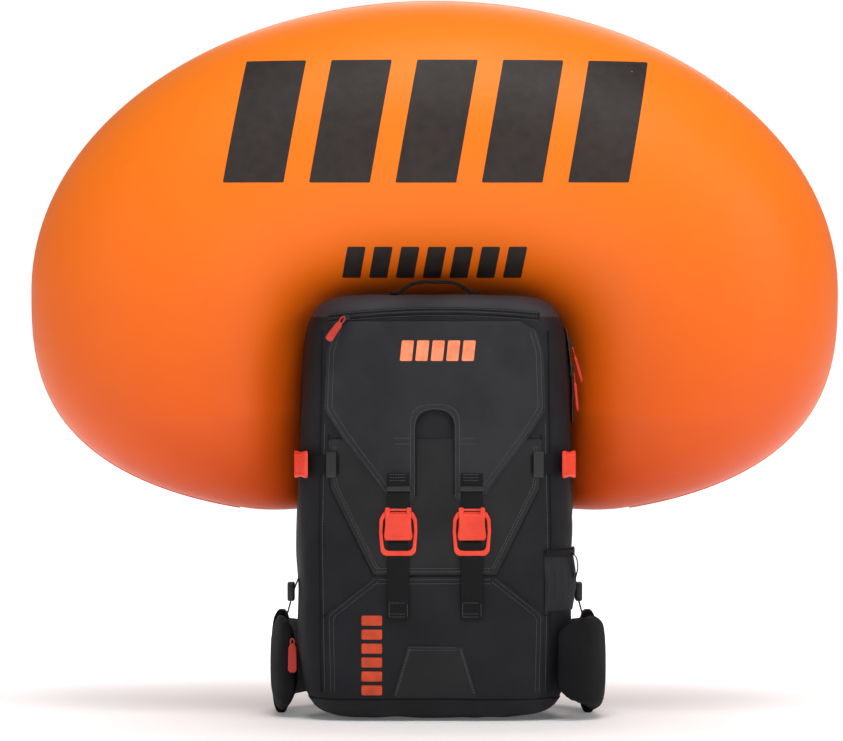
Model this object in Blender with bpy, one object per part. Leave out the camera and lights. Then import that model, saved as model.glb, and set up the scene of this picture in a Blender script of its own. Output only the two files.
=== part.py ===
"""Avalanche airbag backpack, standing on its base with the airbag inflated.

Metres, +Z up. The origin is the middle of the base, on the floor. -Y is the outer
face of the pack, +Y is the wearer's side, and the wearer's left is -X.
"""

import math

import bmesh
import bpy
from mathutils import Vector

GAP = 0.0003  # between pieces that rest on each other
SEAT = 0.0005  # between a soft strip and the bag's faceted side

# Bag
BAG_HALF_WIDTH = 0.190
BAG_FRONT = -0.140
BAG_REAR = 0.080
BAG_CROWN = 0.583
BAG_WALL = 0.003
BASE_THICKNESS = 0.003
FRONT_DROP = 0.023  # the front panel's top edge lies this far under the crown
REAR_DROP = 0.073

# Airbag
AIRBAG_HALF_WIDTH = 0.566
AIRBAG_WIDEST_HEIGHT = 0.591
AIRBAG_RISE = 0.405
AIRBAG_FALL = 0.320
AIRBAG_HALF_DEPTH = 0.168
AIRBAG_WALL = 0.0015
NOTCH_HALF_WIDTH = 0.172
NOTCH_RISE = 0.150
NOTCH_CENTRE_HEIGHT = 0.420
NOTCH_SQUARENESS = 5
LOBE_REACH = math.radians(126)

# Blower and its duct
DUCT_Y = 0.057  # also the airbag's seam plane
BLOWER_HEIGHT = 0.385
BLOWER_RADIUS = 0.060
BLOWER_DEPTH = 0.0452
CASING_WALL = 0.002
IMPELLER_RADIUS = 0.045
DUCT_HALF_WIDTH = 0.022
DUCT_TOP = 0.470
NECK_RADIUS = 0.022
NECK_WALL = 0.0025
MOTOR_RADIUS = 0.018

# Harness
FRAME_THICKNESS = 0.003
BACK_PANEL_THICKNESS = 0.020
BACK_PANEL_HALF_WIDTH = 0.135
BACK_PANEL_TOP = 0.490
STRAP_WIDTH = 0.060
STRAP_THICKNESS = 0.014
STRAP_X = 0.085
STRAP_FACE_Y = 0.192  # middle of the strap where it runs straight down the chest
WING_HEIGHT = 0.143
WING_THICKNESS = 0.026
WING_REACH = 0.228  # outermost line of the hip belt

# Front straps and zips
WEB_WIDTH = 0.030
WEB_THICKNESS = 0.002
FRONT_STRAP_X = 0.050
BUCKLE_WIDTH = 0.052
BUCKLE_HEIGHT = 0.060
BUCKLE_BOTTOM = 0.226
FLAP_THICKNESS = 0.003
FLAP_TOP = 0.545
FLAP_LEG_BOTTOM = 0.300
FLAP_ARCH_RADIUS = 0.025
FLAP_ARCH_HEIGHT = 0.398
LOWER_WEB_BOTTOM = 0.140
UPPER_WEB_TOP = 0.338
HOOK_HALF_WIDTH = 0.0175
HOOK_EAR_HEIGHT = 0.006  # how far the hook's ears stand above the buckle frame
PANEL_THICKNESS = 0.002
COMPRESSION_HEIGHT = 0.350
COMPRESSION_WIDTH = 0.027
PULL_THICKNESS = 0.003
PULL_WIDTH = 0.011

SIDES = (("left", -1), ("right", 1))

# Side of the bag, as shares of its height and of its half width, from base to crown
BAG_SIDE = (
    (0.0, 0.90),
    (0.03, 0.975),
    (0.17, 1.0),
    (0.43, 1.0),
    (0.70, 0.985),
    (0.93, 0.93),
    (0.965, 0.87),
    (0.988, 0.77),
    (1.0, 0.60),
)
BASE_TOP = BASE_THICKNESS + GAP
FLAT_SIDE = (-0.085, -0.045)  # between these the bag's side is flat
# Sections from front to rear: y, share of the half width, base height, crown height
BAG_STATIONS = (
    (BAG_FRONT, 0.82, BASE_TOP + 0.020, BAG_CROWN - FRONT_DROP),
    (BAG_FRONT + 0.012, 0.91, BASE_TOP + 0.006, BAG_CROWN - 0.013),
    (BAG_FRONT + 0.035, 0.98, BASE_TOP, BAG_CROWN - 0.004),
    (FLAT_SIDE[0], 1.0, BASE_TOP, BAG_CROWN),
    (FLAT_SIDE[1], 1.0, BASE_TOP, BAG_CROWN),
    (0.0, 0.94, BASE_TOP, BAG_CROWN - 0.028),
    (BAG_REAR - 0.020, 0.85, BASE_TOP, BAG_CROWN - 0.060),
    (BAG_REAR, 0.80, BASE_TOP, BAG_CROWN - REAR_DROP),
)

# Middle of the release cable, from the trigger over the wearer's left shoulder to the control box
CABLE_ROUTE = (
    (-0.106, 0.2027, 0.3308),
    (-0.106, 0.2027, 0.370),
    (-0.106, 0.2027, 0.418),
    (-0.102, 0.1976, 0.4635),
    (-0.093, 0.1800, 0.4995),
    (-0.083, 0.1460, 0.5182),
    (-0.078, 0.1150, 0.5035),
    (-0.078, 0.0980, 0.4985),
    (-0.078, 0.0818, 0.4980),
    (-0.082, 0.0720, 0.4965),
    (-0.085, 0.0680, 0.4920),
    (-0.085, 0.0680, 0.4862),
)


def linear(channel):
    return channel / 12.92 if channel <= 0.04045 else ((channel + 0.055) / 1.055) ** 2.4


def surface(name, colour, roughness, metallic=0.0):
    """A Principled BSDF material from an sRGB colour such as "F0402A"."""
    shade = bpy.data.materials.new(name)
    shade.use_nodes = True
    shader = shade.node_tree.nodes["Principled BSDF"]
    red, green, blue = (linear(int(colour[i : i + 2], 16) / 255) for i in (0, 2, 4))
    shader.inputs["Base Color"].default_value = (red, green, blue, 1)
    shader.inputs["Roughness"].default_value = roughness
    shader.inputs["Metallic"].default_value = metallic
    return shade


def add_object(name, bm, shade, pivot=(0, 0, 0), sharp_angle=30):
    """Makes the named object from a bmesh in world coordinates, with its origin on the pivot."""
    bmesh.ops.recalc_face_normals(bm, faces=bm.faces)
    bmesh.ops.translate(bm, vec=-Vector(pivot), verts=bm.verts)
    mesh = bpy.data.meshes.new(name)
    bm.to_mesh(mesh)
    bm.free()
    mesh.shade_smooth()
    mesh.set_sharp_from_angle(angle=math.radians(sharp_angle))
    mesh.materials.append(shade)
    obj = bpy.data.objects.new(name, mesh)
    obj.location = pivot
    bpy.context.collection.objects.link(obj)
    return obj


def combine(target, bm, name, operation="DIFFERENCE"):
    """Cuts a helper shape from the target, or joins it on."""
    helper = add_object(name, bm, target.data.materials[0])
    helper.hide_render = True
    helper.display_type = "WIRE"
    modifier = target.modifiers.new(name, "BOOLEAN")
    modifier.operation = operation
    modifier.object = helper


def loft(rings):
    """A closed body through rings of equally many points, with a flat cap on each end."""
    bm = bmesh.new()
    rows = [[bm.verts.new(point) for point in ring] for ring in rings]
    for low, high in zip(rows, rows[1:]):
        for i in range(len(low)):
            j = (i + 1) % len(low)
            bm.faces.new((low[i], low[j], high[j], high[i]))
    bm.faces.new(rows[0])
    bm.faces.new(rows[-1])
    return bm


def plate(outline, near, far):
    """A flat sheet in the XZ plane, from y = near to y = far."""
    return loft([[(x, y, z) for x, z in outline] for y in (near, far)])


def slab(outline, low, high):
    """A flat sheet in the XY plane, from z = low to z = high."""
    return loft([[(x, y, z) for x, y in outline] for z in (low, high)])


def mirrored(outline):
    """An outline's right half, listed top to bottom, with its left half added."""
    return list(outline) + [(-x, z) for x, z in reversed(outline)]


def rectangle(x, low, high, width):
    return [(x - width / 2, low), (x + width / 2, low), (x + width / 2, high), (x - width / 2, high)]


def block(low, high, bevel=0.0, segments=1):
    bm = bmesh.new()
    bmesh.ops.create_cube(bm, size=1)
    bmesh.ops.scale(bm, vec=Vector(high) - Vector(low), verts=bm.verts)
    bmesh.ops.translate(bm, vec=(Vector(low) + Vector(high)) / 2, verts=bm.verts)
    if bevel:
        bmesh.ops.bevel(
            bm, geom=bm.edges[:], offset=bevel, segments=segments, profile=0.5, affect="EDGES"
        )
    return bm


def turned(profile, centre, axis, steps=24, ring=False):
    """Turns (radius, height) points about an axis. A ring's last point joins its first."""
    bm = bmesh.new()
    lean = Vector((0, 0, 1)).rotation_difference(Vector(axis))
    rows = []
    for radius, height in profile:
        angles = [math.tau * i / steps for i in range(steps if radius else 1)]
        spots = [Vector((radius * math.cos(a), radius * math.sin(a), height)) for a in angles]
        rows.append([bm.verts.new(Vector(centre) + lean @ spot) for spot in spots])
    pairs = list(zip(rows, rows[1:]))
    if ring:
        pairs.append((rows[-1], rows[0]))
    for low, high in pairs:
        for i in range(steps):
            j = i + 1
            corners = [low[i % len(low)], low[j % len(low)], high[j % len(high)], high[i % len(high)]]
            bm.faces.new(list(dict.fromkeys(corners)))
    return bm


def cylinder(centre, axis, radius, length, steps=24):
    """A solid cylinder that starts at the centre and runs along the axis."""
    return turned([(0, 0), (radius, 0), (radius, length), (0, length)], centre, axis, steps)


def padded_section(width, thickness, corner=0.3):
    """A flat strap's section with its corners taken off, as (across, outward) offsets."""
    half, depth = width / 2, thickness / 2
    cut = corner * thickness
    quarter = [(half, depth - cut), (half - cut, depth)]
    upper = quarter + [(-x, y) for x, y in reversed(quarter)]
    return upper + [(-x, -y) for x, y in upper]


def flat_section(width, thickness):
    half, depth = width / 2, thickness / 2
    return [(half, -depth), (half, depth), (-half, depth), (-half, -depth)]


def sweep(path, sections, across):
    """Carries a section along a path; each point has its own section."""
    points = [Vector(point) for point in path]
    rings = []
    for i, centre in enumerate(points):
        tangent = (points[min(i + 1, len(points) - 1)] - points[max(i - 1, 0)]).normalized()
        side = Vector(across)
        side = (side - tangent * side.dot(tangent)).normalized()
        normal = tangent.cross(side)
        ahead = points[i + 1] - centre if i + 1 < len(points) else centre - points[i - 1]
        mitre = 1 / max(0.5, tangent.dot(ahead.normalized()))
        rings.append([centre + side * u + normal * v * mitre for u, v in sections[i]])
    return loft(rings)


def between(low, high, share):
    return low + (high - low) * share


def bag_frame(y):
    """Share of the half width, base height and crown height of the bag's section at y."""
    for front, rear in zip(BAG_STATIONS, BAG_STATIONS[1:]):
        if y <= rear[0]:
            share = (y - front[0]) / (rear[0] - front[0])
            return [between(front[k], rear[k], share) for k in (1, 2, 3)]
    return BAG_STATIONS[-1][1:]


def bag_half_width(y, z):
    """Distance from the middle to the bag's outer side at this depth and height."""
    share, base, crown = bag_frame(y)
    height = (z - base) / (crown - base)
    for low, high in zip(BAG_SIDE, BAG_SIDE[1:]):
        if height <= high[0]:
            step = (height - low[0]) / (high[0] - low[0])
            return BAG_HALF_WIDTH * share * between(low[1], high[1], step)
    return BAG_HALF_WIDTH * share * BAG_SIDE[-1][1]


def bag_ring(y, frame, inset=0.0):
    """The bag's outline at this depth, from the crown down the right side and up the left."""
    share, base, crown = frame
    half = BAG_HALF_WIDTH * share - inset
    low, high = base + inset, crown - inset
    right = [(half * width, between(low, high, height)) for height, width in reversed(BAG_SIDE)]
    return [(x, y, z) for x, z in mirrored(right)]


def make_bag(fabric, trim, panel_fabric):
    outer = [bag_ring(station[0], station[1:]) for station in BAG_STATIONS]
    inner = []
    for y, *frame in reversed(BAG_STATIONS):
        inner.append(bag_ring(max(y, BAG_FRONT + BAG_WALL), frame, BAG_WALL))
    inner.pop()
    bag = add_object("bag_shell", loft(outer + inner), fabric)
    slot = NECK_RADIUS + 0.010
    combine(bag, block((-slot, DUCT_Y - slot, 0.40), (slot, BAG_REAR + 0.01, BAG_CROWN)), "burst_slot")
    base_share = BAG_SIDE[0][1] - 0.02
    edge = [(BAG_HALF_WIDTH * base_share * bag_frame(y)[0], y) for y in (0.078, 0.03, 0, *FLAT_SIDE[::-1])]
    edge.append((edge[-1][0] - 0.012, BAG_FRONT + 0.035))
    add_object("bottom_boot", slab(mirrored(edge), 0, BASE_THICKNESS), trim)
    divider_y = 0.007
    ring = bag_ring(divider_y, bag_frame(divider_y), BAG_WALL + SEAT)
    outline = [(x, z) for x, _, z in ring]
    add_object("divider_panel", plate(outline, divider_y - 0.0015, divider_y), panel_fabric)


def make_front_panels(flap_fabric, panel_fabric, tape):
    rear = BAG_FRONT - GAP
    leg_foot = FLAP_LEG_BOTTOM + 0.008
    right = [(0.115, FLAP_TOP), (0.138, FLAP_TOP - 0.013), (0.146, 0.505), (0.149, 0.425), (0.126, 0.389)]
    right += [(0.066, leg_foot), (0.062, FLAP_LEG_BOTTOM), (0.031, FLAP_LEG_BOTTOM), (FLAP_ARCH_RADIUS, leg_foot)]
    for step in range(4):
        angle = math.radians(90 * step / 4)
        rise = FLAP_ARCH_RADIUS * math.sin(angle)
        right.append((FLAP_ARCH_RADIUS * math.cos(angle), FLAP_ARCH_HEIGHT + rise))
    arch_top = (0.0, FLAP_ARCH_HEIGHT + FLAP_ARCH_RADIUS)
    outline = right + [arch_top] + [(-x, z) for x, z in reversed(right)]
    add_object("front_flap", plate(outline, rear - FLAP_THICKNESS, rear), flap_fabric)
    lower = [(0.083, 0.197), (0.147, 0.144), (0.144, 0.030)]
    add_object("lower_front_panel", plate(mirrored(lower), rear - PANEL_THICKNESS, rear), panel_fabric)
    middle = [(0.145 - 0.029 * i, 0.5475 + 0.007 * math.sin(math.pi * i / 10)) for i in range(11)]
    tape_outline = [(x, z + 0.004) for x, z in middle] + [(x, z - 0.002) for x, z in reversed(middle)]
    add_object("top_zip_tape", plate(tape_outline, rear - 0.0015, rear), tape)


def make_front_straps(webbing, red):
    flap_face = BAG_FRONT - GAP - FLAP_THICKNESS
    web_rear = flap_face - GAP
    frame_top = BUCKLE_BOTTOM + BUCKLE_HEIGHT
    frame_rear = BAG_FRONT - GAP - 0.0005
    frame_front = web_rear - WEB_THICKNESS
    hook_rear = frame_front - GAP - 0.0002
    hook_front = hook_rear - PULL_THICKNESS
    for side, sign in SIDES:
        x = sign * FRONT_STRAP_X
        upper = rectangle(x, frame_top + GAP, UPPER_WEB_TOP, WEB_WIDTH)
        add_object(f"upper_web_{side}", plate(upper, frame_front, web_rear), webbing)
        half, low, high = BUCKLE_WIDTH / 2, BUCKLE_BOTTOM, frame_top
        outline = [(x - half + 0.006, low), (x + half - 0.006, low), (x + half, high - 0.012)]
        outline += [(x + half - 0.003, high), (x - half + 0.003, high), (x - half, high - 0.012)]
        ring = add_object(f"buckle_frame_{side}", plate(outline, frame_front, frame_rear), red)
        window = rectangle(x, low + 0.012, high - 0.008, 0.036)
        combine(ring, plate(window, frame_front - 0.01, frame_rear + 0.01), f"buckle_window_{side}")
        ear_top, ear_foot = frame_top + HOOK_EAR_HEIGHT, frame_top - 0.002
        pivot = (x, (hook_rear + hook_front) / 2, ear_top)
        tail = low + 0.021
        right = [(0.008, ear_foot), (0.011, ear_top), (HOOK_HALF_WIDTH + 0.002, ear_top)]
        right += [(HOOK_HALF_WIDTH, ear_foot), (HOOK_HALF_WIDTH, tail + 0.003), (HOOK_HALF_WIDTH - 0.003, tail)]
        body = [(x + across, z) for across, z in mirrored(right)]
        hook = add_object(f"buckle_hook_{side}", plate(body, hook_front, hook_rear), red, pivot)
        lip = block((x - 0.012, hook_rear - 0.001, tail + 0.001), (x + 0.012, frame_rear - 0.001, tail + 0.004))
        combine(hook, lip, f"hook_lip_{side}", "UNION")
        lower = rectangle(x, LOWER_WEB_BOTTOM, BUCKLE_BOTTOM - GAP, WEB_WIDTH)
        lower_rear = BAG_FRONT - GAP - PANEL_THICKNESS - GAP
        add_object(f"lower_web_{side}", plate(lower, lower_rear - WEB_THICKNESS, lower_rear), webbing)


def outside_of_bag(sign, stations, height, offset):
    """Plan points that follow the bag's side at one height, held off it."""
    return [(sign * (bag_half_width(y, height) + offset), y, height) for y in stations]


def make_side_straps(webbing, red):
    z = COMPRESSION_HEIGHT
    thickness = 0.0015
    for side, sign in SIDES:
        offset = SEAT + thickness / 2
        path = outside_of_bag(sign, (FLAT_SIDE[1], FLAT_SIDE[0]), z, offset)
        for (y, _, _, _), lead in zip(BAG_STATIONS[2:0:-1], (0.25, 0.6)):
            path.append((sign * (bag_half_width(y, z) + offset), y - lead * offset, z))
        corner = bag_half_width(BAG_FRONT, z)
        path.append((sign * (corner + 0.3 * offset), BAG_FRONT - offset * 1.05, z))
        path.append((sign * (corner - 0.020), BAG_FRONT - offset, z))
        flat = [flat_section(COMPRESSION_WIDTH, thickness)] * len(path)
        add_object(f"compression_web_{side}", sweep(path, flat, (0, 0, 1)), webbing)
        front, rear = BAG_STATIONS[1][0], BAG_STATIONS[2][0]
        start = Vector((sign * bag_half_width(rear, z), rear, z))
        end = Vector((sign * bag_half_width(front, z), front, z))
        along = (end - start).normalized()
        outward = Vector((along.y, -along.x, 0)) * -sign
        middle = (start + end) / 2 + outward * (SEAT + thickness + 2 * GAP + 0.003)
        ends = [middle - along * 0.019, middle + along * 0.019]
        buckle = [flat_section(0.038, 0.005)] * 2
        add_object(f"compression_buckle_{side}", sweep(ends, buckle, (0, 0, 1)), red, ends[0])


def make_handle(webbing):
    y = sum(FLAT_SIDE) / 2
    foot = BAG_CROWN + SEAT + 0.0015
    right = [(0.062, y, foot), (0.050, y, foot), (0.038, y, foot + 0.010), (0.022, y, foot + 0.0145)]
    path = right + [(-x, depth, z) for x, depth, z in reversed(right)]
    section = [padded_section(0.024, 0.003)] * len(path)
    add_object("grab_handle", sweep(path, section, (0, 1, 0)), webbing, (0, y, foot))


def make_zips(tape, red, metal):
    face = BAG_FRONT - GAP - 0.0015
    x, z = -0.122, 0.5495
    body = block((x - 0.007, face - 0.0055, z - 0.0035), (x + 0.007, face - 0.0005, z + 0.005), 0.001)
    add_object("top_zip_slider", body, metal, (x, face, z))
    hang = face - 0.0055 - 0.0005
    direction = Vector((-0.024, 0, -0.034)).normalized()
    top = Vector((x, hang - PULL_THICKNESS / 2, z + 0.002))
    path = [top, top + direction * 0.040]
    pull = [padded_section(PULL_WIDTH, PULL_THICKNESS)] * 2
    add_object("top_zip_pull", sweep(path, pull, (1, 0, 0)), red, top)
    zip_y = sum(FLAT_SIDE) / 2
    high, low = 0.540, 0.405
    offset = SEAT + 0.00075
    ends = [(bag_half_width(zip_y, z) + offset, zip_y, z) for z in (high - 0.004, low + 0.002)]
    add_object("side_zip_tape", sweep(ends, [flat_section(0.022, 0.0015)] * 2, (0, 1, 0)), tape)
    slope = (Vector(ends[1]) - Vector(ends[0])).normalized()
    outward = Vector((-slope.z, 0, slope.x))
    for name, height, swing, reach in (("upper", 0.513, 15, 0.056), ("lower", 0.478, 5, 0.058)):
        seat = Vector((bag_half_width(zip_y, height), zip_y, height)) + outward * (SEAT + 0.0015)
        base = seat + outward * 0.0005
        path = [base - slope * 0.009 + outward * 0.0025, base + slope * 0.009 + outward * 0.0025]
        add_object(
            f"side_zip_slider_{name}", sweep(path, [padded_section(0.012, 0.005)] * 2, (0, 1, 0)), metal, base
        )
        pivot = seat + outward * 0.0075
        lean = math.radians(swing)
        hang = Vector((math.sin(lean), 0, -math.cos(lean)))
        path = [pivot, pivot + hang * reach]
        pull = [padded_section(PULL_WIDTH, PULL_THICKNESS)] * 2
        add_object(f"side_zip_pull_{name}", sweep(path, pull, (0, 1, 0)), red, pivot)


def make_mesh_pocket(mesh_fabric):
    thickness = 0.004
    offset = SEAT + thickness / 2
    rings = []
    stations = (FLAT_SIDE[1] - 0.005, FLAT_SIDE[0], BAG_STATIONS[2][0], BAG_STATIONS[1][0])
    leads = (0, 0, 0.25, 0.6)
    for z, spare in ((0.150, 0), (0.17, 0.002), (0.215, 0.004), (0.230, 0.0005)):
        inner = [(bag_half_width(y, z) + SEAT, y - lead * SEAT, z) for y, lead in zip(stations, leads)]
        outer = [
            (bag_half_width(y, z) + SEAT + thickness + spare, y - lead * (thickness + spare), z)
            for y, lead in zip(stations, leads)
        ]
        rings.append(inner + outer[::-1])
    add_object("mesh_pocket", loft(rings), mesh_fabric)


def outline_radius(angle):
    """Distance from the notch's centre to the airbag's edge, at this angle from straight up."""
    near, far = 0.0, 2 * AIRBAG_HALF_WIDTH
    for _ in range(40):
        middle = (near + far) / 2
        x = abs(middle * math.sin(angle)) / AIRBAG_HALF_WIDTH
        height = NOTCH_CENTRE_HEIGHT + middle * math.cos(angle) - AIRBAG_WIDEST_HEIGHT
        if height >= 0:
            inside = x**2 + (height / AIRBAG_RISE) ** 2 < 1
        else:
            inside = x**2.8 + (-height / AIRBAG_FALL) ** 2.8 < 1
        near, far = (middle, far) if inside else (near, middle)
    return near


def notch_radius(angle):
    """Distance from the notch's centre to the airbag's inner edge, which goes round the bag."""
    across, up = abs(math.sin(angle)), math.cos(angle)
    if up <= 0:
        return NOTCH_HALF_WIDTH / across
    power = NOTCH_SQUARENESS
    return ((across / NOTCH_HALF_WIDTH) ** power + (up / NOTCH_RISE) ** power) ** (-1 / power)


def airbag_depth(half_reach):
    full = (AIRBAG_WIDEST_HEIGHT + AIRBAG_RISE - NOTCH_CENTRE_HEIGHT - NOTCH_RISE) / 2
    return AIRBAG_HALF_DEPTH * min(1.0, half_reach / (0.82 * full)) ** 0.6


def make_airbag(nylon):
    steps, spokes = 26, 8
    for name, sign in (("front", -1), ("rear", 1)):
        rings = []
        for step in range(steps + 1):
            angle = LOBE_REACH * (2 * step / steps - 1)
            outer, inner = outline_radius(angle), notch_radius(angle)
            middle, half = (outer + inner) / 2, (outer - inner) / 2
            depth = airbag_depth(half)
            section = []
            for skin in (0.0, AIRBAG_WALL):
                turns = [math.pi * i / spokes for i in range(spokes + 1)]
                for turn in turns if not skin else reversed(turns):
                    radius = middle + (half - skin) * math.cos(turn)
                    y = DUCT_Y + sign * (GAP / 2 + (depth - skin) * math.sin(turn))
                    height = NOTCH_CENTRE_HEIGHT + radius * math.cos(angle)
                    section.append((radius * math.sin(angle), y, height))
            rings.append(section)
        half = add_object(f"airbag_{name}", loft(rings), nylon)
        top = NOTCH_CENTRE_HEIGHT + NOTCH_RISE
        hole = cylinder((0, DUCT_Y, top - 0.03), (0, 0, 1), NECK_RADIUS + SEAT, 0.06)
        combine(half, hole, f"neck_hole_{name}")


def scroll_outline(radius, half_width, top):
    """A round scroll with a straight duct going up from its middle."""
    start = math.asin(half_width / radius)
    turns = [start + (math.tau - 2 * start) * i / 30 for i in range(31)]
    ring = [(radius * math.sin(turn), BLOWER_HEIGHT + radius * math.cos(turn)) for turn in turns]
    return [(-half_width, top), (half_width, top)] + ring


def make_blower(casing, metal, rubber):
    rear = BAG_REAR
    split = rear - BLOWER_DEPTH / 2
    housing = {}
    for name, wall, seam in (
        ("rear", rear, split + GAP / 2),
        ("front", rear - BLOWER_DEPTH, split - GAP / 2),
    ):
        inward = math.copysign(1, seam - wall)
        outline = scroll_outline(BLOWER_RADIUS, DUCT_HALF_WIDTH, DUCT_TOP)
        cup = add_object(f"blower_housing_{name}", plate(outline, wall, seam), casing)
        housing[name] = cup
        hollow = scroll_outline(BLOWER_RADIUS - CASING_WALL, DUCT_HALF_WIDTH - CASING_WALL, DUCT_TOP + 0.01)
        combine(cup, plate(hollow, wall + inward * CASING_WALL, seam + inward * 0.01), f"scroll_{name}")
    holes = [((0, 0), 0.0075)]
    for turn in [math.tau * i / 7 for i in range(7)]:
        holes.append(((0.030 * math.sin(turn), 0.030 * math.cos(turn)), 0.0075))
    for number, ((x, z), radius) in enumerate(holes):
        start = (x, rear - BLOWER_DEPTH - 0.01, BLOWER_HEIGHT + z)
        combine(housing["front"], cylinder(start, (0, 1, 0), radius, 0.02, 12), f"intake_{number}")
    wheel_rear = rear - CASING_WALL - 0.002
    wheel_front = rear - BLOWER_DEPTH + CASING_WALL + 0.0045
    hub = cylinder((0, wheel_rear, BLOWER_HEIGHT), (0, -1, 0), 0.010, wheel_rear - wheel_front, 20)
    impeller = add_object("impeller", hub, casing, (0, wheel_rear, BLOWER_HEIGHT))
    disc = cylinder((0, wheel_rear, BLOWER_HEIGHT), (0, -1, 0), IMPELLER_RADIUS, 0.002, 32)
    combine(impeller, disc, "impeller_disc", "UNION")
    blades = 9
    for blade in range(blades):
        angle = math.tau * blade / blades
        radial = Vector((math.sin(angle), 0, math.cos(angle)))
        curl = Vector((math.cos(angle), 0, -math.sin(angle)))
        middle = Vector((0, (wheel_front + wheel_rear) / 2, BLOWER_HEIGHT))
        path = [middle + radial * 0.008, middle + radial * 0.026 + curl * 0.003]
        path.append(middle + radial * 0.0425 + curl * 0.012)
        fin = sweep(path, [flat_section(wheel_rear - wheel_front - 0.002, 0.0015)] * 3, (0, 1, 0))
        combine(impeller, fin, f"impeller_blade_{blade}", "UNION")
    motor_rear = rear - BLOWER_DEPTH - GAP
    motor_seat = (0, motor_rear, BLOWER_HEIGHT)
    shell = [(0, 0), (MOTOR_RADIUS, 0), (MOTOR_RADIUS, 0.022), (MOTOR_RADIUS - 0.003, 0.025), (0, 0.025)]
    motor = add_object("motor", turned(shell, motor_seat, (0, -1, 0)), metal, motor_seat)
    shaft_length = wheel_front - motor_rear + 0.01 - GAP
    shaft = cylinder((0, motor_rear - 0.01, BLOWER_HEIGHT), (0, 1, 0), 0.003, shaft_length, 12)
    combine(motor, shaft, "motor_shaft", "UNION")
    hinge_y = rear - CASING_WALL - 0.0009
    valve_z = DUCT_TOP - 0.030
    width = DUCT_HALF_WIDTH - CASING_WALL - SEAT
    leaf = block(
        (-width, rear - BLOWER_DEPTH + CASING_WALL + 0.001, valve_z - 0.0006),
        (width, hinge_y + 0.0004, valve_z + 0.0006),
    )
    add_object("check_valve", leaf, rubber, (0, hinge_y, valve_z))
    bore = NECK_RADIUS - NECK_WALL
    neck_top = NOTCH_CENTRE_HEIGHT + NOTCH_RISE + 0.012 - DUCT_TOP - GAP
    wall = [(bore, 0), (NECK_RADIUS, 0), (NECK_RADIUS, neck_top), (bore, neck_top)]
    add_object("airbag_neck", turned(wall, (0, DUCT_Y, DUCT_TOP + GAP), (0, 0, 1), 24, True), rubber)
    clamp_z = NOTCH_CENTRE_HEIGHT + NOTCH_RISE - 0.022
    inside = NECK_RADIUS + GAP + 0.0002
    band = [(inside, 0), (inside + 0.0025, 0), (inside + 0.0025, 0.009), (inside, 0.009)]
    add_object("neck_clamp", turned(band, (0, DUCT_Y, clamp_z), (0, 0, 1), 24, True), metal)


def make_electronics(plastic, board_green, sleeve):
    tray_front = BAG_REAR - 0.002
    tray = add_object(
        "electronics_tray", block((-0.078, tray_front, 0.105), (0.078, BAG_REAR, 0.272)), plastic
    )
    holder = block((0.002, tray_front - 0.019, 0.115), (0.072, BAG_REAR - 0.001, 0.180), 0.0008)
    combine(tray, holder, "battery_holder", "UNION")
    rear = tray_front - GAP
    add_object("circuit_board", block((-0.070, rear - 0.0016, 0.150), (-0.008, rear, 0.260)), board_green)
    radius = 0.0175
    for side, x in (("left", 0.018), ("right", 0.055)):
        edge = radius - 0.002
        profile = [(0, 0), (edge, 0), (radius, 0.002), (radius, 0.064), (edge, 0.066), (0, 0.066)]
        can = turned(profile, (x, rear - radius, 0.190), (0, 0, 1))
        add_object(f"supercapacitor_{side}", can, sleeve)


def make_harness(foam, plastic, webbing, strap_fabric):
    sheet_front = BAG_REAR + GAP
    outline = [(x, z) for x, _, z in bag_ring(BAG_REAR, BAG_STATIONS[-1][1:])]
    sheet_rear = sheet_front + FRAME_THICKNESS
    sheet = add_object("frame_sheet", plate(outline, sheet_front, sheet_rear), plastic)
    port = cylinder((CABLE_ROUTE[-4][0], sheet_front - 0.01, CABLE_ROUTE[-4][2]), (0, 1, 0), 0.0055, 0.03, 12)
    combine(sheet, port, "cable_port")
    panel_front = sheet_rear + GAP
    panel_rear = panel_front + BACK_PANEL_THICKNESS
    panel = block(
        (-BACK_PANEL_HALF_WIDTH, panel_front, 0.050),
        (BACK_PANEL_HALF_WIDTH, panel_rear, BACK_PANEL_TOP),
        0.007,
    )
    add_object("back_panel", panel, foam)
    pad = block((-0.098, panel_rear + GAP, 0.056), (0.098, panel_rear + GAP + 0.018, 0.150), 0.006)
    add_object("lumbar_pad", pad, foam)
    first = panel_rear + SEAT + STRAP_THICKNESS / 2
    for side, sign in SIDES:
        path = strap_path(sign, first)
        section = [padded_section(STRAP_WIDTH, STRAP_THICKNESS)] * len(path)
        add_object(f"shoulder_strap_{side}", sweep(path, section, (1, 0, 0)), strap_fabric)
        end = Vector(path[-1])
        anchor = Vector((sign * 0.118, panel_rear + 0.0075, 0.098))
        along = (anchor - end).normalized()
        lock = [end + along * 0.002, end + along * 0.024]
        flat_y = panel_rear + SEAT + WEB_THICKNESS / 2
        path = [end + along * 0.020, anchor, (anchor.x, flat_y, 0.084), (anchor.x, flat_y, 0.062)]
        web = sweep(path, [flat_section(0.022, WEB_THICKNESS)] * 4, (1, 0, 0))
        strap_web = add_object(f"strap_web_{side}", web, webbing)
        ladder_lock = sweep(lock, [padded_section(0.032, 0.006)] * 2, (1, 0, 0))
        combine(strap_web, ladder_lock, f"ladder_lock_{side}", "UNION")


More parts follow.
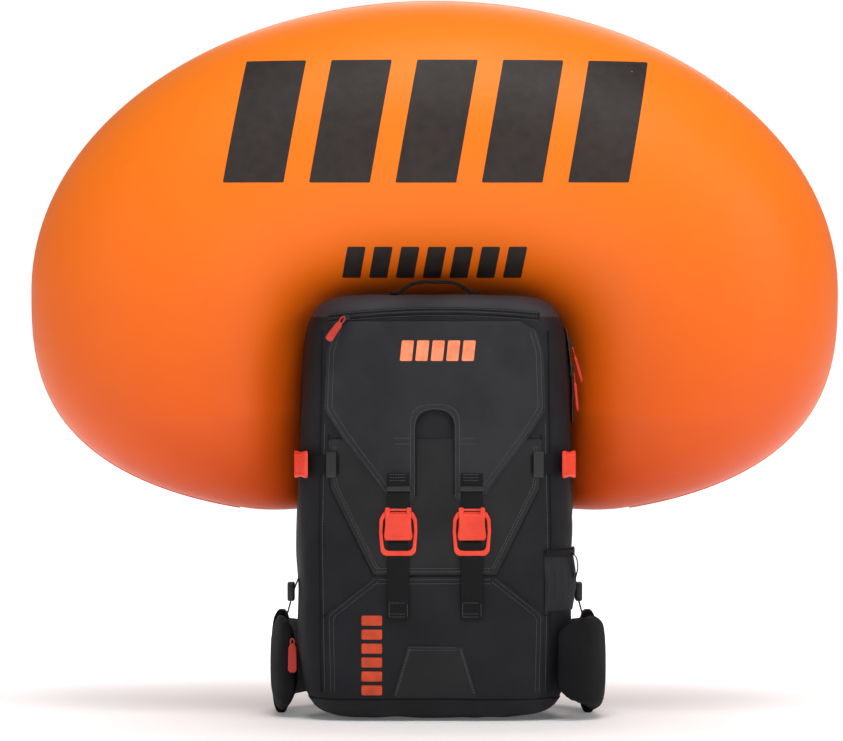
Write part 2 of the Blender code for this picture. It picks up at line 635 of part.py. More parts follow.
def strap_path(sign, first):
    """Middle line of a shoulder strap, from its seam on the back panel, over the shoulder and down."""
    face = STRAP_FACE_Y
    return [
        (sign * 0.050, first, 0.425),
        (sign * 0.052, first, 0.460),
        (sign * 0.055, first + 0.011, 0.492),
        (sign * 0.062, first + 0.035, 0.505),
        (sign * (STRAP_X - 0.013), face - 0.020, 0.492),
        (sign * (STRAP_X - 0.004), face - 0.005, 0.460),
        (sign * STRAP_X, face, 0.420),
        (sign * STRAP_X, face, 0.260),
        (sign * (STRAP_X + 0.005), face - 0.008, 0.225),
        (sign * (STRAP_X + 0.012), face - 0.027, 0.190),
    ]


def make_sternum_strap(webbing):
    low = STRAP_FACE_Y + STRAP_THICKNESS / 2 + SEAT
    middle = low + 0.004
    z = 0.372
    flat = flat_section(0.020, WEB_THICKNESS)
    path = [(-0.094, low + 0.001, z), (-0.050, low + 0.001, z), (-0.018, middle, z)]
    left = add_object("sternum_strap_left", sweep(path, [flat] * 3, (0, 0, 1)), webbing)
    female = block((-0.020, low, z - 0.013), (0.010, low + 0.008, z + 0.013), 0.0015)
    combine(left, female, "sternum_buckle_female", "UNION")
    slot = block((-0.010, low + 0.002, z - 0.009), (0.02, low + 0.006, z + 0.009))
    combine(left, slot, "tongue_slot")
    path = [(0.029, middle, z), (0.050, low + 0.001, z), (0.110, low + 0.001, z)]
    right = add_object("sternum_strap_right", sweep(path, [flat] * 3, (0, 0, 1)), webbing)
    male = block((0.0105, low, z - 0.013), (0.031, low + 0.008, z + 0.013), 0.0015)
    combine(right, male, "sternum_buckle_male", "UNION")
    tongue = block((-0.008, low + 0.0025, z - 0.0085), (0.015, low + 0.0055, z + 0.0085))
    combine(right, tongue, "tongue", "UNION")


def smooth_route(route, pieces):
    """Points on a smooth curve through the route's own points."""
    points = [Vector(point) for point in route]
    points = [2 * points[0] - points[1]] + points + [2 * points[-1] - points[-2]]
    found = []
    for before, start, end, after in zip(points, points[1:], points[2:], points[3:]):
        for piece in range(pieces):
            t = piece / pieces
            bend = (2 * before - 5 * start + 4 * end - after) * t**2
            turn = (3 * start - before - 3 * end + after) * t**3
            found.append((2 * start + (end - before) * t + bend + turn) / 2)
    return found + [points[-2]]


def make_release(plastic, red, black):
    radius = 0.0025
    curve = bpy.data.curves.new("trigger_cable", "CURVE")
    curve.dimensions = "3D"
    curve.bevel_depth = radius
    curve.bevel_resolution = 1
    curve.use_fill_caps = True
    points = smooth_route(CABLE_ROUTE, 3)
    spline = curve.splines.new("POLY")
    spline.points.add(len(points) - 1)
    for spot, point in zip(spline.points, points):
        spot.co = (*point, 1)
    curve.materials.append(black)
    cable = bpy.data.objects.new("trigger_cable", curve)
    bpy.context.collection.objects.link(cable)
    low = STRAP_FACE_Y + STRAP_THICKNESS / 2 + SEAT
    x = CABLE_ROUTE[0][0] + 0.012
    base_top = CABLE_ROUTE[0][2] - GAP
    holster = block((x - 0.017, low, base_top - 0.030), (x + 0.017, low + 0.012, base_top), 0.002)
    base = add_object("trigger_base", holster, plastic)
    base_bottom = base_top - 0.030
    combine(base, cylinder((x, low + 0.006, base_bottom - 0.01), (0, 0, 1), 0.0045, 0.024, 16), "plug_socket")
    grip_top = base_bottom - SEAT
    pivot = (x, low + 0.006, grip_top)
    grip = add_object(
        "trigger_handle",
        block((x - 0.014, low + 0.0005, grip_top - 0.062), (x + 0.014, low + 0.0135, grip_top), 0.004, 2),
        red,
        pivot,
    )
    plug = cylinder((x, low + 0.006, grip_top - 0.006), (0, 0, 1), 0.004, 0.018, 16)
    combine(grip, plug, "handle_plug", "UNION")
    end = CABLE_ROUTE[-1]
    box_top = end[2] - GAP
    box_low = (end[0] - 0.027, BAG_REAR - 0.024, box_top - 0.055)
    box = block(box_low, (end[0] + 0.025, BAG_REAR, box_top), 0.002)
    add_object("control_box", box, plastic)


def make_hip_belt(foam, webbing, red):
    crown = ((0.0006, 0.020), (0.012, 0.008), (0.040, 0.001))
    crown += ((0.090, 0.0), (0.125, 0.009), (WING_HEIGHT, 0.027))
    front_y, rear_y = -0.075, 0.045
    belts = {}
    for side, sign in SIDES:
        inner = [(BAG_HALF_WIDTH * bag_frame(y)[0] + SEAT, y) for y in (rear_y, 0.0, FLAT_SIDE[1], front_y)]
        rings = []
        for z, hollow in crown:
            outer = [(0.203, front_y), (0.218, -0.045), (WING_REACH - 0.001, -0.005)]
            outer += [(WING_REACH, 0.020), (WING_REACH - 0.0005, rear_y)]
            outer = [(x - hollow * (0.35 if i == 0 else 1), y) for i, (x, y) in enumerate(outer)]
            rings.append([(sign * x, y, z) for x, y in inner + outer])
        add_object(f"hip_stabilizer_{side}", loft(rings), foam)
        hinge = (sign * WING_REACH, rear_y, WING_HEIGHT / 2)
        start = WING_REACH - WING_THICKNESS / 2 - 0.0005
        stations = (
            (start, rear_y + SEAT, 0.0006, WING_HEIGHT, 1.0),
            (start, 0.075, 0.0006, WING_HEIGHT, 1.0),
            (start - 0.0035, 0.110, 0.0006, WING_HEIGHT - 0.002, 0.95),
            (start - 0.0145, 0.150, 0.001, WING_HEIGHT - 0.007, 0.85),
            (start - 0.0365, 0.195, 0.006, WING_HEIGHT - 0.017, 0.7),
            (start - 0.0645, 0.230, 0.014, WING_HEIGHT - 0.029, 0.55),
            (start - 0.0945, 0.2555, 0.024, WING_HEIGHT - 0.041, 0.4),
        )
        path = [(sign * x, y, (low + high) / 2) for x, y, low, high, _ in stations]
        section = [padded_section(high - low, WING_THICKNESS * t) for _, _, low, high, t in stations]
        add_object(f"hip_wing_{side}", sweep(path, section, (0, 0, 1)), foam, hinge)
        tip = Vector(path[-1])
        onward = (tip - Vector(path[-2])).normalized()
        web = [
            tip + onward * SEAT,
            tip + onward * 0.010,
            (sign * 0.100, 0.270, 0.062),
            (sign * 0.072, 0.281, 0.056),
            (sign * 0.046, 0.284, 0.050),
        ]
        ribbon = sweep(web, [flat_section(0.038, 0.002)] * len(web), (0, 0, 1))
        belts[side] = add_object(f"hip_web_{side}", ribbon, webbing, hinge)
    y, z = 0.284, 0.050
    female = block((-0.050, y - 0.006, z - 0.023), (-0.0065, y + 0.006, z + 0.023), 0.003)
    combine(belts["left"], female, "hip_buckle_female", "UNION")
    slot = block((-0.028, y - 0.003, z - 0.017), (0.0, y + 0.003, z + 0.017))
    combine(belts["left"], slot, "hip_tongue_slot")
    male = block((0.0235, y - 0.006, z - 0.023), (0.050, y + 0.006, z + 0.023), 0.003)
    combine(belts["right"], male, "hip_buckle_male", "UNION")
    tongue = block((0.004, y - 0.0025, z - 0.016), (0.030, y + 0.0025, z + 0.016), 0.001)
    combine(belts["right"], tongue, "hip_tongue", "UNION")
    top = Vector((-0.1958, front_y - GAP - SEAT - PULL_THICKNESS / 2, 0.112))
    pull = sweep([top, top - Vector((0, 0, 0.050))], [padded_section(0.0095, PULL_THICKNESS)] * 2, (1, 0, 0))
    add_object("hip_zip_pull", pull, red, top)


def main():
    for obj in list(bpy.data.objects):
        bpy.data.objects.remove(obj, do_unlink=True)
    pack_cloth = surface("coated_pack_cloth", "2B2B2E", 0.6)
    side_cloth = surface("side_cloth", "26272B", 0.65)
    flap_cloth = surface("flap_cloth", "3A3A3D", 0.55)
    webbing = surface("webbing", "212123", 0.7)
    red = surface("red_plastic", "EF4028", 0.35)
    black = surface("black_plastic", "1B1B1D", 0.45)
    zip_tape = surface("zip_tape", "1E1E20", 0.6)
    metal = surface("zip_metal", "8C8E92", 0.35, 1.0)
    nylon = surface("airbag_nylon", "FF8A2C", 0.45)
    mesh_cloth = surface("stretch_mesh", "202124", 0.8)
    foam = surface("covered_foam", "242528", 0.75)
    make_bag(pack_cloth, side_cloth, side_cloth)
    make_front_panels(flap_cloth, pack_cloth, zip_tape)
    make_front_straps(webbing, red)
    make_side_straps(webbing, red)
    make_handle(webbing)
    make_zips(zip_tape, red, metal)
    make_mesh_pocket(mesh_cloth)
    make_airbag(nylon)
    make_blower(black, metal, surface("valve_rubber", "18181A", 0.7))
    board, sleeve = surface("circuit_board", "1E5A38", 0.4), surface("capacitor_sleeve", "1C2C5C", 0.35)
    make_electronics(black, board, sleeve)
    make_harness(foam, black, webbing, foam)
    make_sternum_strap(webbing)
    make_release(black, red, black)
    make_hip_belt(foam, webbing, red)


main()
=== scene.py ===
"""Looks of the avalanche airbag backpack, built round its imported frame.

Metres, +Z up. -Y is the outer face of the pack, +Y the wearer's side.
"""

import math

import bmesh
import bpy
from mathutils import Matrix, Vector, noise
from mathutils.bvhtree import BVHTree


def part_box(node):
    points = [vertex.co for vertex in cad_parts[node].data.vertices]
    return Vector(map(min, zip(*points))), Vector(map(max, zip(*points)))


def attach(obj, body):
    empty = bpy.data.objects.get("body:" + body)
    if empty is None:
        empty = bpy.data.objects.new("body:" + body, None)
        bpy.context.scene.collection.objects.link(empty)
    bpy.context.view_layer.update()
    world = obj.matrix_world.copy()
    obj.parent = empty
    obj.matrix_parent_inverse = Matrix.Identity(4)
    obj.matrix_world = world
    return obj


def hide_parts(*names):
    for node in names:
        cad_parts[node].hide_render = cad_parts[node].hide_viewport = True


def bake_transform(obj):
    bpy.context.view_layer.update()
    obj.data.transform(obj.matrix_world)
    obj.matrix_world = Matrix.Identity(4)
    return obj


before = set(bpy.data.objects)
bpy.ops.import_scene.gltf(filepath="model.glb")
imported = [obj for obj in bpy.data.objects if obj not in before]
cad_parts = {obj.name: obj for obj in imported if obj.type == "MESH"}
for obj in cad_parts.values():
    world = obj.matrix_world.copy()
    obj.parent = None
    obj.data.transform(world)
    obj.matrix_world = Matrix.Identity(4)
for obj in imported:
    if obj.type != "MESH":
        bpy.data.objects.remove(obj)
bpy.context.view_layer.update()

MM = 0.001
SIDES = (("left", -1), ("right", 1))

# Sizes read from the frame
BAG_LOW, BAG_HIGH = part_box("bag_shell")
SEAM_Y = (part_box("airbag_front")[1].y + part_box("airbag_rear")[0].y) / 2
AIR_LOW, AIR_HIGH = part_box("airbag_front")


# ---------------------------------------------------------------- helpers


def linear(channel):
    return channel / 12.92 if channel <= 0.04045 else ((channel + 0.055) / 1.055) ** 2.4


def colour(code):
    """An sRGB hex code as linear RGBA."""
    return (*(linear(int(code[i : i + 2], 16) / 255) for i in (0, 2, 4)), 1.0)


def add_node(tree, kind, inputs=(), **settings):
    """Adds one node; an input that is a socket is linked, and any other is set."""
    made = tree.nodes.new(kind)
    for name, value in settings.items():
        setattr(made, name, value)
    for socket, value in dict(inputs).items():
        if isinstance(value, bpy.types.NodeSocket):
            tree.links.new(value, made.inputs[socket])
        else:
            made.inputs[socket].default_value = value
    return made


def new_material(name, **sockets):
    """A material with its Principled BSDF's own sockets set."""
    made = bpy.data.materials.new(name)
    made.use_nodes = True
    shader = made.node_tree.nodes["Principled BSDF"]
    for socket, value in sockets.items():
        shader.inputs[socket.replace("_", " ")].default_value = value
    return made, made.node_tree, shader


def ramp(tree, factor, low, high, dark, light):
    """A colour ramp between two hex colours."""
    made = add_node(tree, "ShaderNodeValToRGB", {"Fac": factor})
    made.color_ramp.elements[0].position = low
    made.color_ramp.elements[1].position = high
    made.color_ramp.elements[0].color = colour(dark)
    made.color_ramp.elements[1].color = colour(light)
    return made.outputs["Color"]


def maths(tree, operation, first, second=0.0, third=0.0, clamp=False):
    made = add_node(
        tree, "ShaderNodeMath", {0: first, 1: second, 2: third}, operation=operation, use_clamp=clamp
    )
    return made.outputs[0]


def noise_map(tree, where, scale, detail=3.0, roughness=0.55):
    inputs = {"Vector": where, "Scale": scale, "Detail": detail, "Roughness": roughness}
    return add_node(tree, "ShaderNodeTexNoise", inputs).outputs["Fac"]


def weave_height(tree, where, spacing):
    """Threads crossing at this spacing in metres: sines along all three axes, so two cross on any face."""
    total = None
    for direction in "XYZ":
        wave = add_node(
            tree,
            "ShaderNodeTexWave",
            {"Vector": where, "Scale": math.pi / 10 / spacing},
            wave_type="BANDS",
            bands_direction=direction,
        ).outputs["Fac"]
        total = wave if total is None else maths(tree, "ADD", total, wave)
    return total


def bump(tree, shader, height, distance, strength=1.0, under=None):
    """Adds a bump over an earlier one; distance is the relief in metres."""
    inputs = {"Height": height, "Distance": distance, "Strength": strength}
    if under is not None:
        inputs["Normal"] = under
    normal = add_node(tree, "ShaderNodeBump", inputs).outputs["Normal"]
    tree.links.new(normal, shader.inputs["Normal"])
    return normal


def cloth_material(name, dark, light, roughness, spacing, relief, crease=0.0030, sheen=0.0, lustre=0.22):
    """Woven cloth: threads, soft creases, and a slow change of tone where it is handled."""
    made, tree, shader = new_material(
        name, Sheen_Weight=sheen, Sheen_Roughness=0.5, Specular_IOR_Level=lustre
    )
    where = add_node(tree, "ShaderNodeTexCoord").outputs["Object"]
    tone = noise_map(tree, where, 9.0, 4.0)
    tree.links.new(ramp(tree, tone, 0.35, 0.68, dark, light), shader.inputs["Base Color"])
    handled = maths(tree, "MULTIPLY_ADD", noise_map(tree, where, 26.0), 0.22, roughness - 0.11)
    tree.links.new(handled, shader.inputs["Roughness"])
    drawn = add_node(tree, "ShaderNodeMapping", {"Vector": where, "Scale": (1.0, 1.0, 0.55)}).outputs[0]
    folds = bump(tree, shader, noise_map(tree, drawn, 21.0, 3.0), crease, 0.75)
    bump(tree, shader, weave_height(tree, where, spacing), relief, 0.7, folds)
    return made


def finish_piece(name, bm, material, body, replaced=(), smooth=35):
    """Makes a bmesh a piece that rides on a body and may stand for CAD nodes."""
    mesh = bpy.data.meshes.new(name)
    bm.to_mesh(mesh)
    bm.free()
    mesh.shade_smooth()
    if smooth:
        mesh.set_sharp_from_angle(angle=math.radians(smooth))
    mesh.materials.append(material)
    obj = bpy.data.objects.new(name, mesh)
    bpy.context.scene.collection.objects.link(obj)
    if body:
        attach(obj, body)
    if replaced:
        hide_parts(*replaced)
    return obj


def add_modifier(obj, kind, **settings):
    made = obj.modifiers.new(kind.title(), kind)
    for name, value in settings.items():
        setattr(made, name, value)
    return made


def give_thickness(obj, thickness, edge=0.0006, offset=1.0):
    """Turns a sheet into a solid with rounded edges; the sheet is its inner face."""
    add_modifier(obj, "SOLIDIFY", thickness=thickness, offset=offset)
    add_modifier(obj, "BEVEL", width=edge, segments=2, limit_method="ANGLE", angle_limit=math.radians(50))


def rounded(corners, steps=6):
    """An outline from corners (x, z, radius), each turned by an arc."""
    points = []
    for i, (x, z, radius) in enumerate(corners):
        here = Vector((x, z))
        before = Vector(corners[i - 1][:2]) - here
        after = Vector(corners[(i + 1) % len(corners)][:2]) - here
        if not radius:
            points.append((x, z))
            continue
        half = before.angle(after) / 2
        reach = min(radius / math.tan(half), 0.48 * before.length, 0.48 * after.length)
        start, end = here + before.normalized() * reach, here + after.normalized() * reach
        for step in range(steps + 1):
            t = step / steps
            points.append(tuple(start * (1 - t) ** 2 + here * 2 * t * (1 - t) + end * t**2))
    return points


def mirrored(right):
    """Corners of a symmetric outline, from its right half listed top to bottom."""
    return list(right) + [(-x, z, r) for x, z, r in reversed(right)]


def sheet_from(outline, cell):
    """A flat sheet in the XZ plane inside an outline, cut into cells."""
    bm = bmesh.new()
    verts = [bm.verts.new((x, 0, z)) for x, z in outline]
    edges = [bm.edges.new(pair) for pair in zip(verts, verts[1:] + verts[:1])]
    bmesh.ops.triangle_fill(bm, use_beauty=True, use_dissolve=False, edges=edges, normal=(0, -1, 0))
    for axis, values in ((0, [p[0] for p in outline]), (2, [p[1] for p in outline])):
        normal = Vector((axis == 0, 0, axis == 2))
        count = int((max(values) - min(values)) / cell)
        for i in range(1, count + 1):
            spot = normal * (min(values) + i * (max(values) - min(values)) / (count + 1))
            geometry = bm.verts[:] + bm.edges[:] + bm.faces[:]
            bmesh.ops.bisect_plane(bm, geom=geometry, plane_co=spot, plane_no=normal, dist=1e-6)
    bmesh.ops.remove_doubles(bm, verts=bm.verts[:], dist=1e-5)
    return bm


def face_front(bm):
    """Turns a sheet's faces to -Y."""
    bmesh.ops.recalc_face_normals(bm, faces=bm.faces)
    if sum(face.normal.y * face.calc_area() for face in bm.faces) > 0:
        bmesh.ops.reverse_faces(bm, faces=bm.faces)


def tree_of(obj):
    bpy.context.view_layer.update()
    return BVHTree.FromObject(obj, bpy.context.evaluated_depsgraph_get())


def front_of(tree, x, z):
    """The point of a surface seen from the front at (x, z), and its normal."""
    hit, normal, _, _ = tree.ray_cast(Vector((x, -1, z)), Vector((0, 1, 0)))
    return hit, normal


def side_of(tree, sign, y, z):
    """The point of a surface seen from its side at (y, z), and its normal."""
    hit, normal, _, _ = tree.ray_cast(Vector((sign, y, z)), Vector((-sign, 0, 0)))
    return hit, normal


def drape(bm, tree, lift, relief=None):
    """Lays a sheet of the XZ plane on the front of a surface, lifted off it."""
    for vert in bm.verts:
        hit, _ = front_of(tree, vert.co.x, vert.co.z)
        y = hit.y if hit else vert.co.y
        vert.co.y = y - lift - (relief(vert.co.x, vert.co.z) if relief else 0.0)


def section(width, thickness, power=4.0, steps=20):
    """A flat oval strap section as (across, outward) offsets."""
    points = []
    for i in range(steps):
        turn = math.tau * i / steps
        c, s = math.cos(turn), math.sin(turn)
        points.append(
            (
                width / 2 * math.copysign(abs(c) ** (2 / power), c),
                thickness / 2 * math.copysign(abs(s) ** (2 / power), s),
            )
        )
    return points


def smooth_path(route, pieces):
    """Points on a smooth curve through the route's own points."""
    points = [Vector(point) for point in route]
    points = [2 * points[0] - points[1]] + points + [2 * points[-1] - points[-2]]
    found = []
    for before, start, end, after in zip(points, points[1:], points[2:], points[3:]):
        for piece in range(pieces):
            t = piece / pieces
            bend = (2 * before - 5 * start + 4 * end - after) * t**2
            turn = (3 * start - before - 3 * end + after) * t**3
            found.append((2 * start + (end - before) * t + bend + turn) / 2)
    return found + [points[-2]]


def strap(path, shape, across):
    """Carries a section along a path, with UVs in metres: U round the section, V along the path.

    `shape` is a section, or a function of the share along the path; `across` is a vector or one per point.
    """
    bm = bmesh.new()
    uv = bm.loops.layers.uv.new("UVMap")
    points = [Vector(point) for point in path]
    rows, lengths, total = [], [], 0.0
    for i, centre in enumerate(points):
        tangent = (points[min(i + 1, len(points) - 1)] - points[max(i - 1, 0)]).normalized()
        side = Vector(across[i] if isinstance(across, list) else across)
        side = (side - tangent * side.dot(tangent)).normalized()
        normal = tangent.cross(side)
        offsets = shape(i / (len(points) - 1)) if callable(shape) else shape
        rows.append([bm.verts.new(centre + side * u + normal * v) for u, v in offsets])
        total += (centre - points[i - 1]).length if i else 0.0
        lengths.append(total)
    count = len(rows[0])
    girth = [0.0]
    for a, b in zip(rows[len(rows) // 2], rows[len(rows) // 2][1:] + rows[len(rows) // 2][:1]):
        girth.append(girth[-1] + (a.co - b.co).length)
    for k, (low, high) in enumerate(zip(rows, rows[1:])):
        for i in range(count):
            j = (i + 1) % count
            face = bm.faces.new((low[i], low[j], high[j], high[i]))
            marks = ((girth[i], lengths[k]), (girth[i + 1], lengths[k]))
            marks += ((girth[i + 1], lengths[k + 1]), (girth[i], lengths[k + 1]))
            for loop, mark in zip(face.loops, marks):
                loop[uv].uv = mark
    for end in (rows[0], rows[-1]):
        bm.faces.new(end)
    bmesh.ops.recalc_face_normals(bm, faces=bm.faces)
    return bm


def prism(outline, near, far, bevel=0.0, segments=3):
    """A plate in the XZ plane between two depths, with its edges rounded."""
    bm = bmesh.new()
    face = bm.faces.new([bm.verts.new((x, near, z)) for x, z in outline])
    made = bmesh.ops.extrude_face_region(bm, geom=[face])
    moved = [item for item in made["geom"] if isinstance(item, bmesh.types.BMVert)]
    bmesh.ops.translate(bm, vec=(0, far - near, 0), verts=moved)
    bmesh.ops.recalc_face_normals(bm, faces=bm.faces)
    if bevel:
        rims = [edge for edge in bm.edges if abs(edge.verts[0].co.y - edge.verts[1].co.y) < 1e-7]
        bmesh.ops.bevel(
            bm, geom=rims, offset=bevel, segments=segments, profile=0.5, affect="EDGES", material=-1
        )
    return bm


def rounded_box(low, high, bevel, segments=3):
    bm = bmesh.new()
    bmesh.ops.create_cube(bm, size=1)
    bmesh.ops.scale(bm, vec=Vector(high) - Vector(low), verts=bm.verts)
    bmesh.ops.translate(bm, vec=(Vector(low) + Vector(high)) / 2, verts=bm.verts)
    bmesh.ops.bevel(
        bm, geom=bm.edges[:], offset=bevel, segments=segments, profile=0.5, affect="EDGES", material=-1
    )
    return bm


def join(target, other):
    """Adds one bmesh to another."""
    mesh = bpy.data.meshes.new("joined")
    other.to_mesh(mesh)
    other.free()
    target.from_mesh(mesh)
    bpy.data.meshes.remove(mesh)
    return target


# ------------------------------------------------- camera, light and floor

VIEW_CENTRE = (-0.0184, 0.478)  # where the camera looks, across and up
CAMERA_AWAY = 6.14
LENS = 188.4

camera_data = bpy.data.cameras.new("camera")
camera_data.lens = LENS
camera_data.sensor_width = 36
camera = bpy.data.objects.new("camera", camera_data)
camera.location = (VIEW_CENTRE[0], -CAMERA_AWAY, VIEW_CENTRE[1])
camera.rotation_euler = (math.radians(90), 0, 0)
bpy.context.scene.collection.objects.link(camera)
bpy.context.scene.camera = camera
bpy.context.scene.view_settings.view_transform = "Standard"

world = bpy.data.worlds.new("studio")
world.use_nodes = True
world.node_tree.nodes["Background"].inputs["Color"].default_value = (1, 1, 1, 1)
AMBIENT = 0.34
# The studio walls are seen white, and light the object less than that
seen = add_node(world.node_tree, "ShaderNodeLightPath").outputs["Is Camera Ray"]
glow = maths(world.node_tree, "MULTIPLY_ADD", seen, 1 - AMBIENT, AMBIENT)
world.node_tree.links.new(glow, world.node_tree.nodes["Background"].inputs["Strength"])
bpy.context.scene.world = world

# name, place, aim, size, watts
SOFTBOXES = (
    ("softbox_over", (0.3, -1.9, 3.4), (0, 0, 0.6), 2.0, 70),
    ("softbox_left", (-3.0, -2.3, 1.6), (0, 0, 0.45), 1.5, 9),
    ("softbox_right", (3.0, -2.0, 1.9), (0, 0, 0.5), 1.5, 27),
    ("softbox_behind", (0.2, 2.8, 2.4), (0, 0, 0.5), 2.0, 30),
)
for name, place, aim, size, watts in SOFTBOXES:
    light = bpy.data.lights.new(name, "AREA")
    light.size = size
    light.energy = watts
    lamp = bpy.data.objects.new(name, light)
    lamp.location = place
    lamp.rotation_euler = (Vector(aim) - Vector(place)).to_track_quat("-Z", "Y").to_euler()
    bpy.context.scene.collection.objects.link(lamp)

floor_mesh = bpy.data.meshes.new("floor")
bm = bmesh.new()
bmesh.ops.create_grid(bm, x_segments=1, y_segments=1, size=30)
bmesh.ops.translate(bm, vec=(0, 0, -0.0005), verts=bm.verts)
bm.to_mesh(floor_mesh)
bm.free()
floor = bpy.data.objects.new("floor", floor_mesh)
bpy.context.scene.collection.objects.link(floor)
paper, tree, shader = new_material("seamless white paper", Roughness=0.85)
shader.inputs["Base Color"].default_value = colour("f7f7f7")
# Painted glow: the paper gives off its own light, faint near the middle and stronger far away, so it stays
# white up to the horizon
shader.inputs["Emission Color"].default_value = (1, 1, 1, 1)
place = add_node(tree, "ShaderNodeTexCoord").outputs["Object"]
reach = add_node(tree, "ShaderNodeVectorMath", {0: place}, operation="LENGTH")
glow = add_node(tree, "ShaderNodeMapRange", {0: reach.outputs["Value"], 1: 0.3, 2: 1.3, 3: 0.10, 4: 0.85})
tree.links.new(glow.outputs[0], shader.inputs["Emission Strength"])
floor_mesh.materials.append(paper)


# --------------------------------------------------------------- materials

# 420D nylon packcloth, coated inside: a plain weave with a soft dull sheen that greys on its crowns
pack_cloth = cloth_material("packcloth nylon charcoal", "111114", "1b1b1f", 0.62, 0.9 * MM, 0.10 * MM)
side_cloth = cloth_material("packcloth nylon black", "0c0d11", "15161b", 0.66, 0.9 * MM, 0.10 * MM)
# The same cloth in a lighter dye lot with a finer, glossier face
flap_cloth = cloth_material("packcloth nylon graphite", "1c1c1f", "29292d", 0.56, 0.8 * MM, 0.08 * MM)
yoke_cloth = cloth_material("packcloth nylon grey band", "26262a", "35353a", 0.58, 0.8 * MM, 0.08 * MM)
# 200D liner satin: smooth, with a sharper light on its creases
sleek_cloth = cloth_material(
    "coated satin nylon", "0a0a0c", "141417", 0.42, 0.6 * MM, 0.05 * MM, 0.0040, 0.0, 0.32
)
# Padded fleece-backed stretch woven over foam
pad_cloth = cloth_material(
    "stretch woven over foam", "07080a", "101114", 0.74, 1.2 * MM, 0.16 * MM, 0.0022, 0.0, 0.15
)
binding_tape = cloth_material("woven binding tape", "0b0b0d", "141417", 0.78, 0.7 * MM, 0.12 * MM, 0.0004)


def spacer_mesh():
    """Air mesh of knitted polyester: round holes a few millimetres apart over a darker core."""
    made, tree, shader = new_material("knitted spacer mesh", Roughness=0.82, Specular_IOR_Level=0.3)
    where = add_node(tree, "ShaderNodeTexCoord").outputs["Object"]
    squeezed = add_node(tree, "ShaderNodeMapping", {"Vector": where, "Scale": (1, 0.45, 1)}).outputs[0]
    hole_spacing = 3.2 * MM
    inputs = {"Vector": squeezed, "Scale": 1 / hole_spacing, "Randomness": 0.15}
    holes = add_node(tree, "ShaderNodeTexVoronoi", inputs).outputs["Distance"]
    tree.links.new(ramp(tree, holes, 0.25, 0.55, "09090a", "2a2b2f"), shader.inputs["Base Color"])
    bump(tree, shader, holes, 0.8 * MM, 0.8)
    return made


def webbing_material():
    """Nylon webbing: flat ribs across and a plain weave."""
    made, tree, shader = new_material("nylon webbing", Roughness=0.68, Specular_IOR_Level=0.2)
    uv = add_node(tree, "ShaderNodeUVMap", uv_map="UVMap").outputs["UV"]
    split = add_node(tree, "ShaderNodeSeparateXYZ", {0: uv})
    rib, pick = 1.3 * MM, 1.7 * MM
    across = maths(tree, "SINE", maths(tree, "MULTIPLY", split.outputs["X"], math.tau / pick))
    along = maths(tree, "SINE", maths(tree, "MULTIPLY", split.outputs["Y"], math.tau / rib))
    crossed = maths(tree, "MULTIPLY_ADD", maths(tree, "MULTIPLY", across, along), 0.5, 0.5)
    where = add_node(tree, "ShaderNodeTexCoord").outputs["Object"]
    shade = maths(
        tree, "MULTIPLY_ADD", noise_map(tree, where, 60.0), 0.5, maths(tree, "MULTIPLY", crossed, 0.45)
    )
    tree.links.new(ramp(tree, shade, 0.2, 0.75, "040405", "111113"), shader.inputs["Base Color"])
    bump(tree, shader, crossed, 0.35 * MM, 0.8)
    return made


def moulded(name, dark, light, roughness, grain=0.02 * MM):
    """Injection-moulded acetal: even colour, satin gloss, a fine spark grain, and duller where
    it is scuffed."""
    made, tree, shader = new_material(name, IOR=1.48)
    where = add_node(tree, "ShaderNodeTexCoord").outputs["Object"]
    tree.links.new(
        ramp(tree, noise_map(tree, where, 40.0, 4.0), 0.3, 0.75, dark, light), shader.inputs["Base Color"]
    )
    scuffs = maths(tree, "MULTIPLY_ADD", noise_map(tree, where, 120.0, 5.0), 0.22, roughness - 0.1)
    tree.links.new(scuffs, shader.inputs["Roughness"])
    bump(tree, shader, noise_map(tree, where, 1400.0, 2.0), grain, 0.6)
    return made


air_mesh = spacer_mesh()
webbing = webbing_material()
red_acetal = moulded("red moulded acetal", "d9331c", "f0452c", 0.42)
deep_red_acetal = moulded("deep red moulded acetal", "a92416", "c83020", 0.5)
black_acetal = moulded("black moulded acetal", "0d0d0f", "1a1a1c", 0.45)
black_rubber = moulded("moulded valve rubber", "0b0b0c", "161617", 0.7)
nylon_board = moulded("glass-filled nylon", "16171a", "222327", 0.55, 0.05 * MM)
thread, tree, shader = new_material("bonded nylon thread", Roughness=0.5, Sheen_Weight=0.2)
fleck = noise_map(tree, add_node(tree, "ShaderNodeTexCoord").outputs["Object"], 900.0)
tree.links.new(ramp(tree, fleck, 0.3, 0.7, "3c3c40", "5d5d62"), shader.inputs["Base Color"])


def airbag_nylon():
    """Taut coated ripstop: satin, its colour painted brighter the higher it stands as a painted highlight on
    the upper crown, with a square grid of doubled yarns.
    """
    made, tree, shader = new_material("coated ripstop nylon", Specular_IOR_Level=0.3)
    where = add_node(tree, "ShaderNodeTexCoord").outputs["Object"]
    place = add_node(tree, "ShaderNodeSeparateXYZ", {0: where})
    # Painted light: height brightens the colour, a painted highlight up top and painted shade low down, with
    # a little random tone added
    tone = maths(tree, "MULTIPLY_ADD", noise_map(tree, where, 5.0, 3.0), 0.10, place.outputs["Z"])
    tree.links.new(ramp(tree, tone, 0.36, 0.98, "d24a06", "fa7c00"), shader.inputs["Base Color"])
    tree.links.new(
        maths(tree, "MULTIPLY_ADD", noise_map(tree, where, 12.0), 0.12, 0.42), shader.inputs["Roughness"]
    )
    ripstop = 5.0 * MM
    grid = None
    for axis in "XZ":
        line = maths(tree, "PINGPONG", place.outputs[axis], ripstop / 2)
        line = maths(tree, "LESS_THAN", line, 0.35 * MM)
        grid = line if grid is None else maths(tree, "MAXIMUM", grid, line)
    taut = bump(tree, shader, noise_map(tree, where, 7.0, 2.0), 2.5 * MM, 0.5)
    bump(tree, shader, grid, 0.05 * MM, 0.35, taut)
    return made


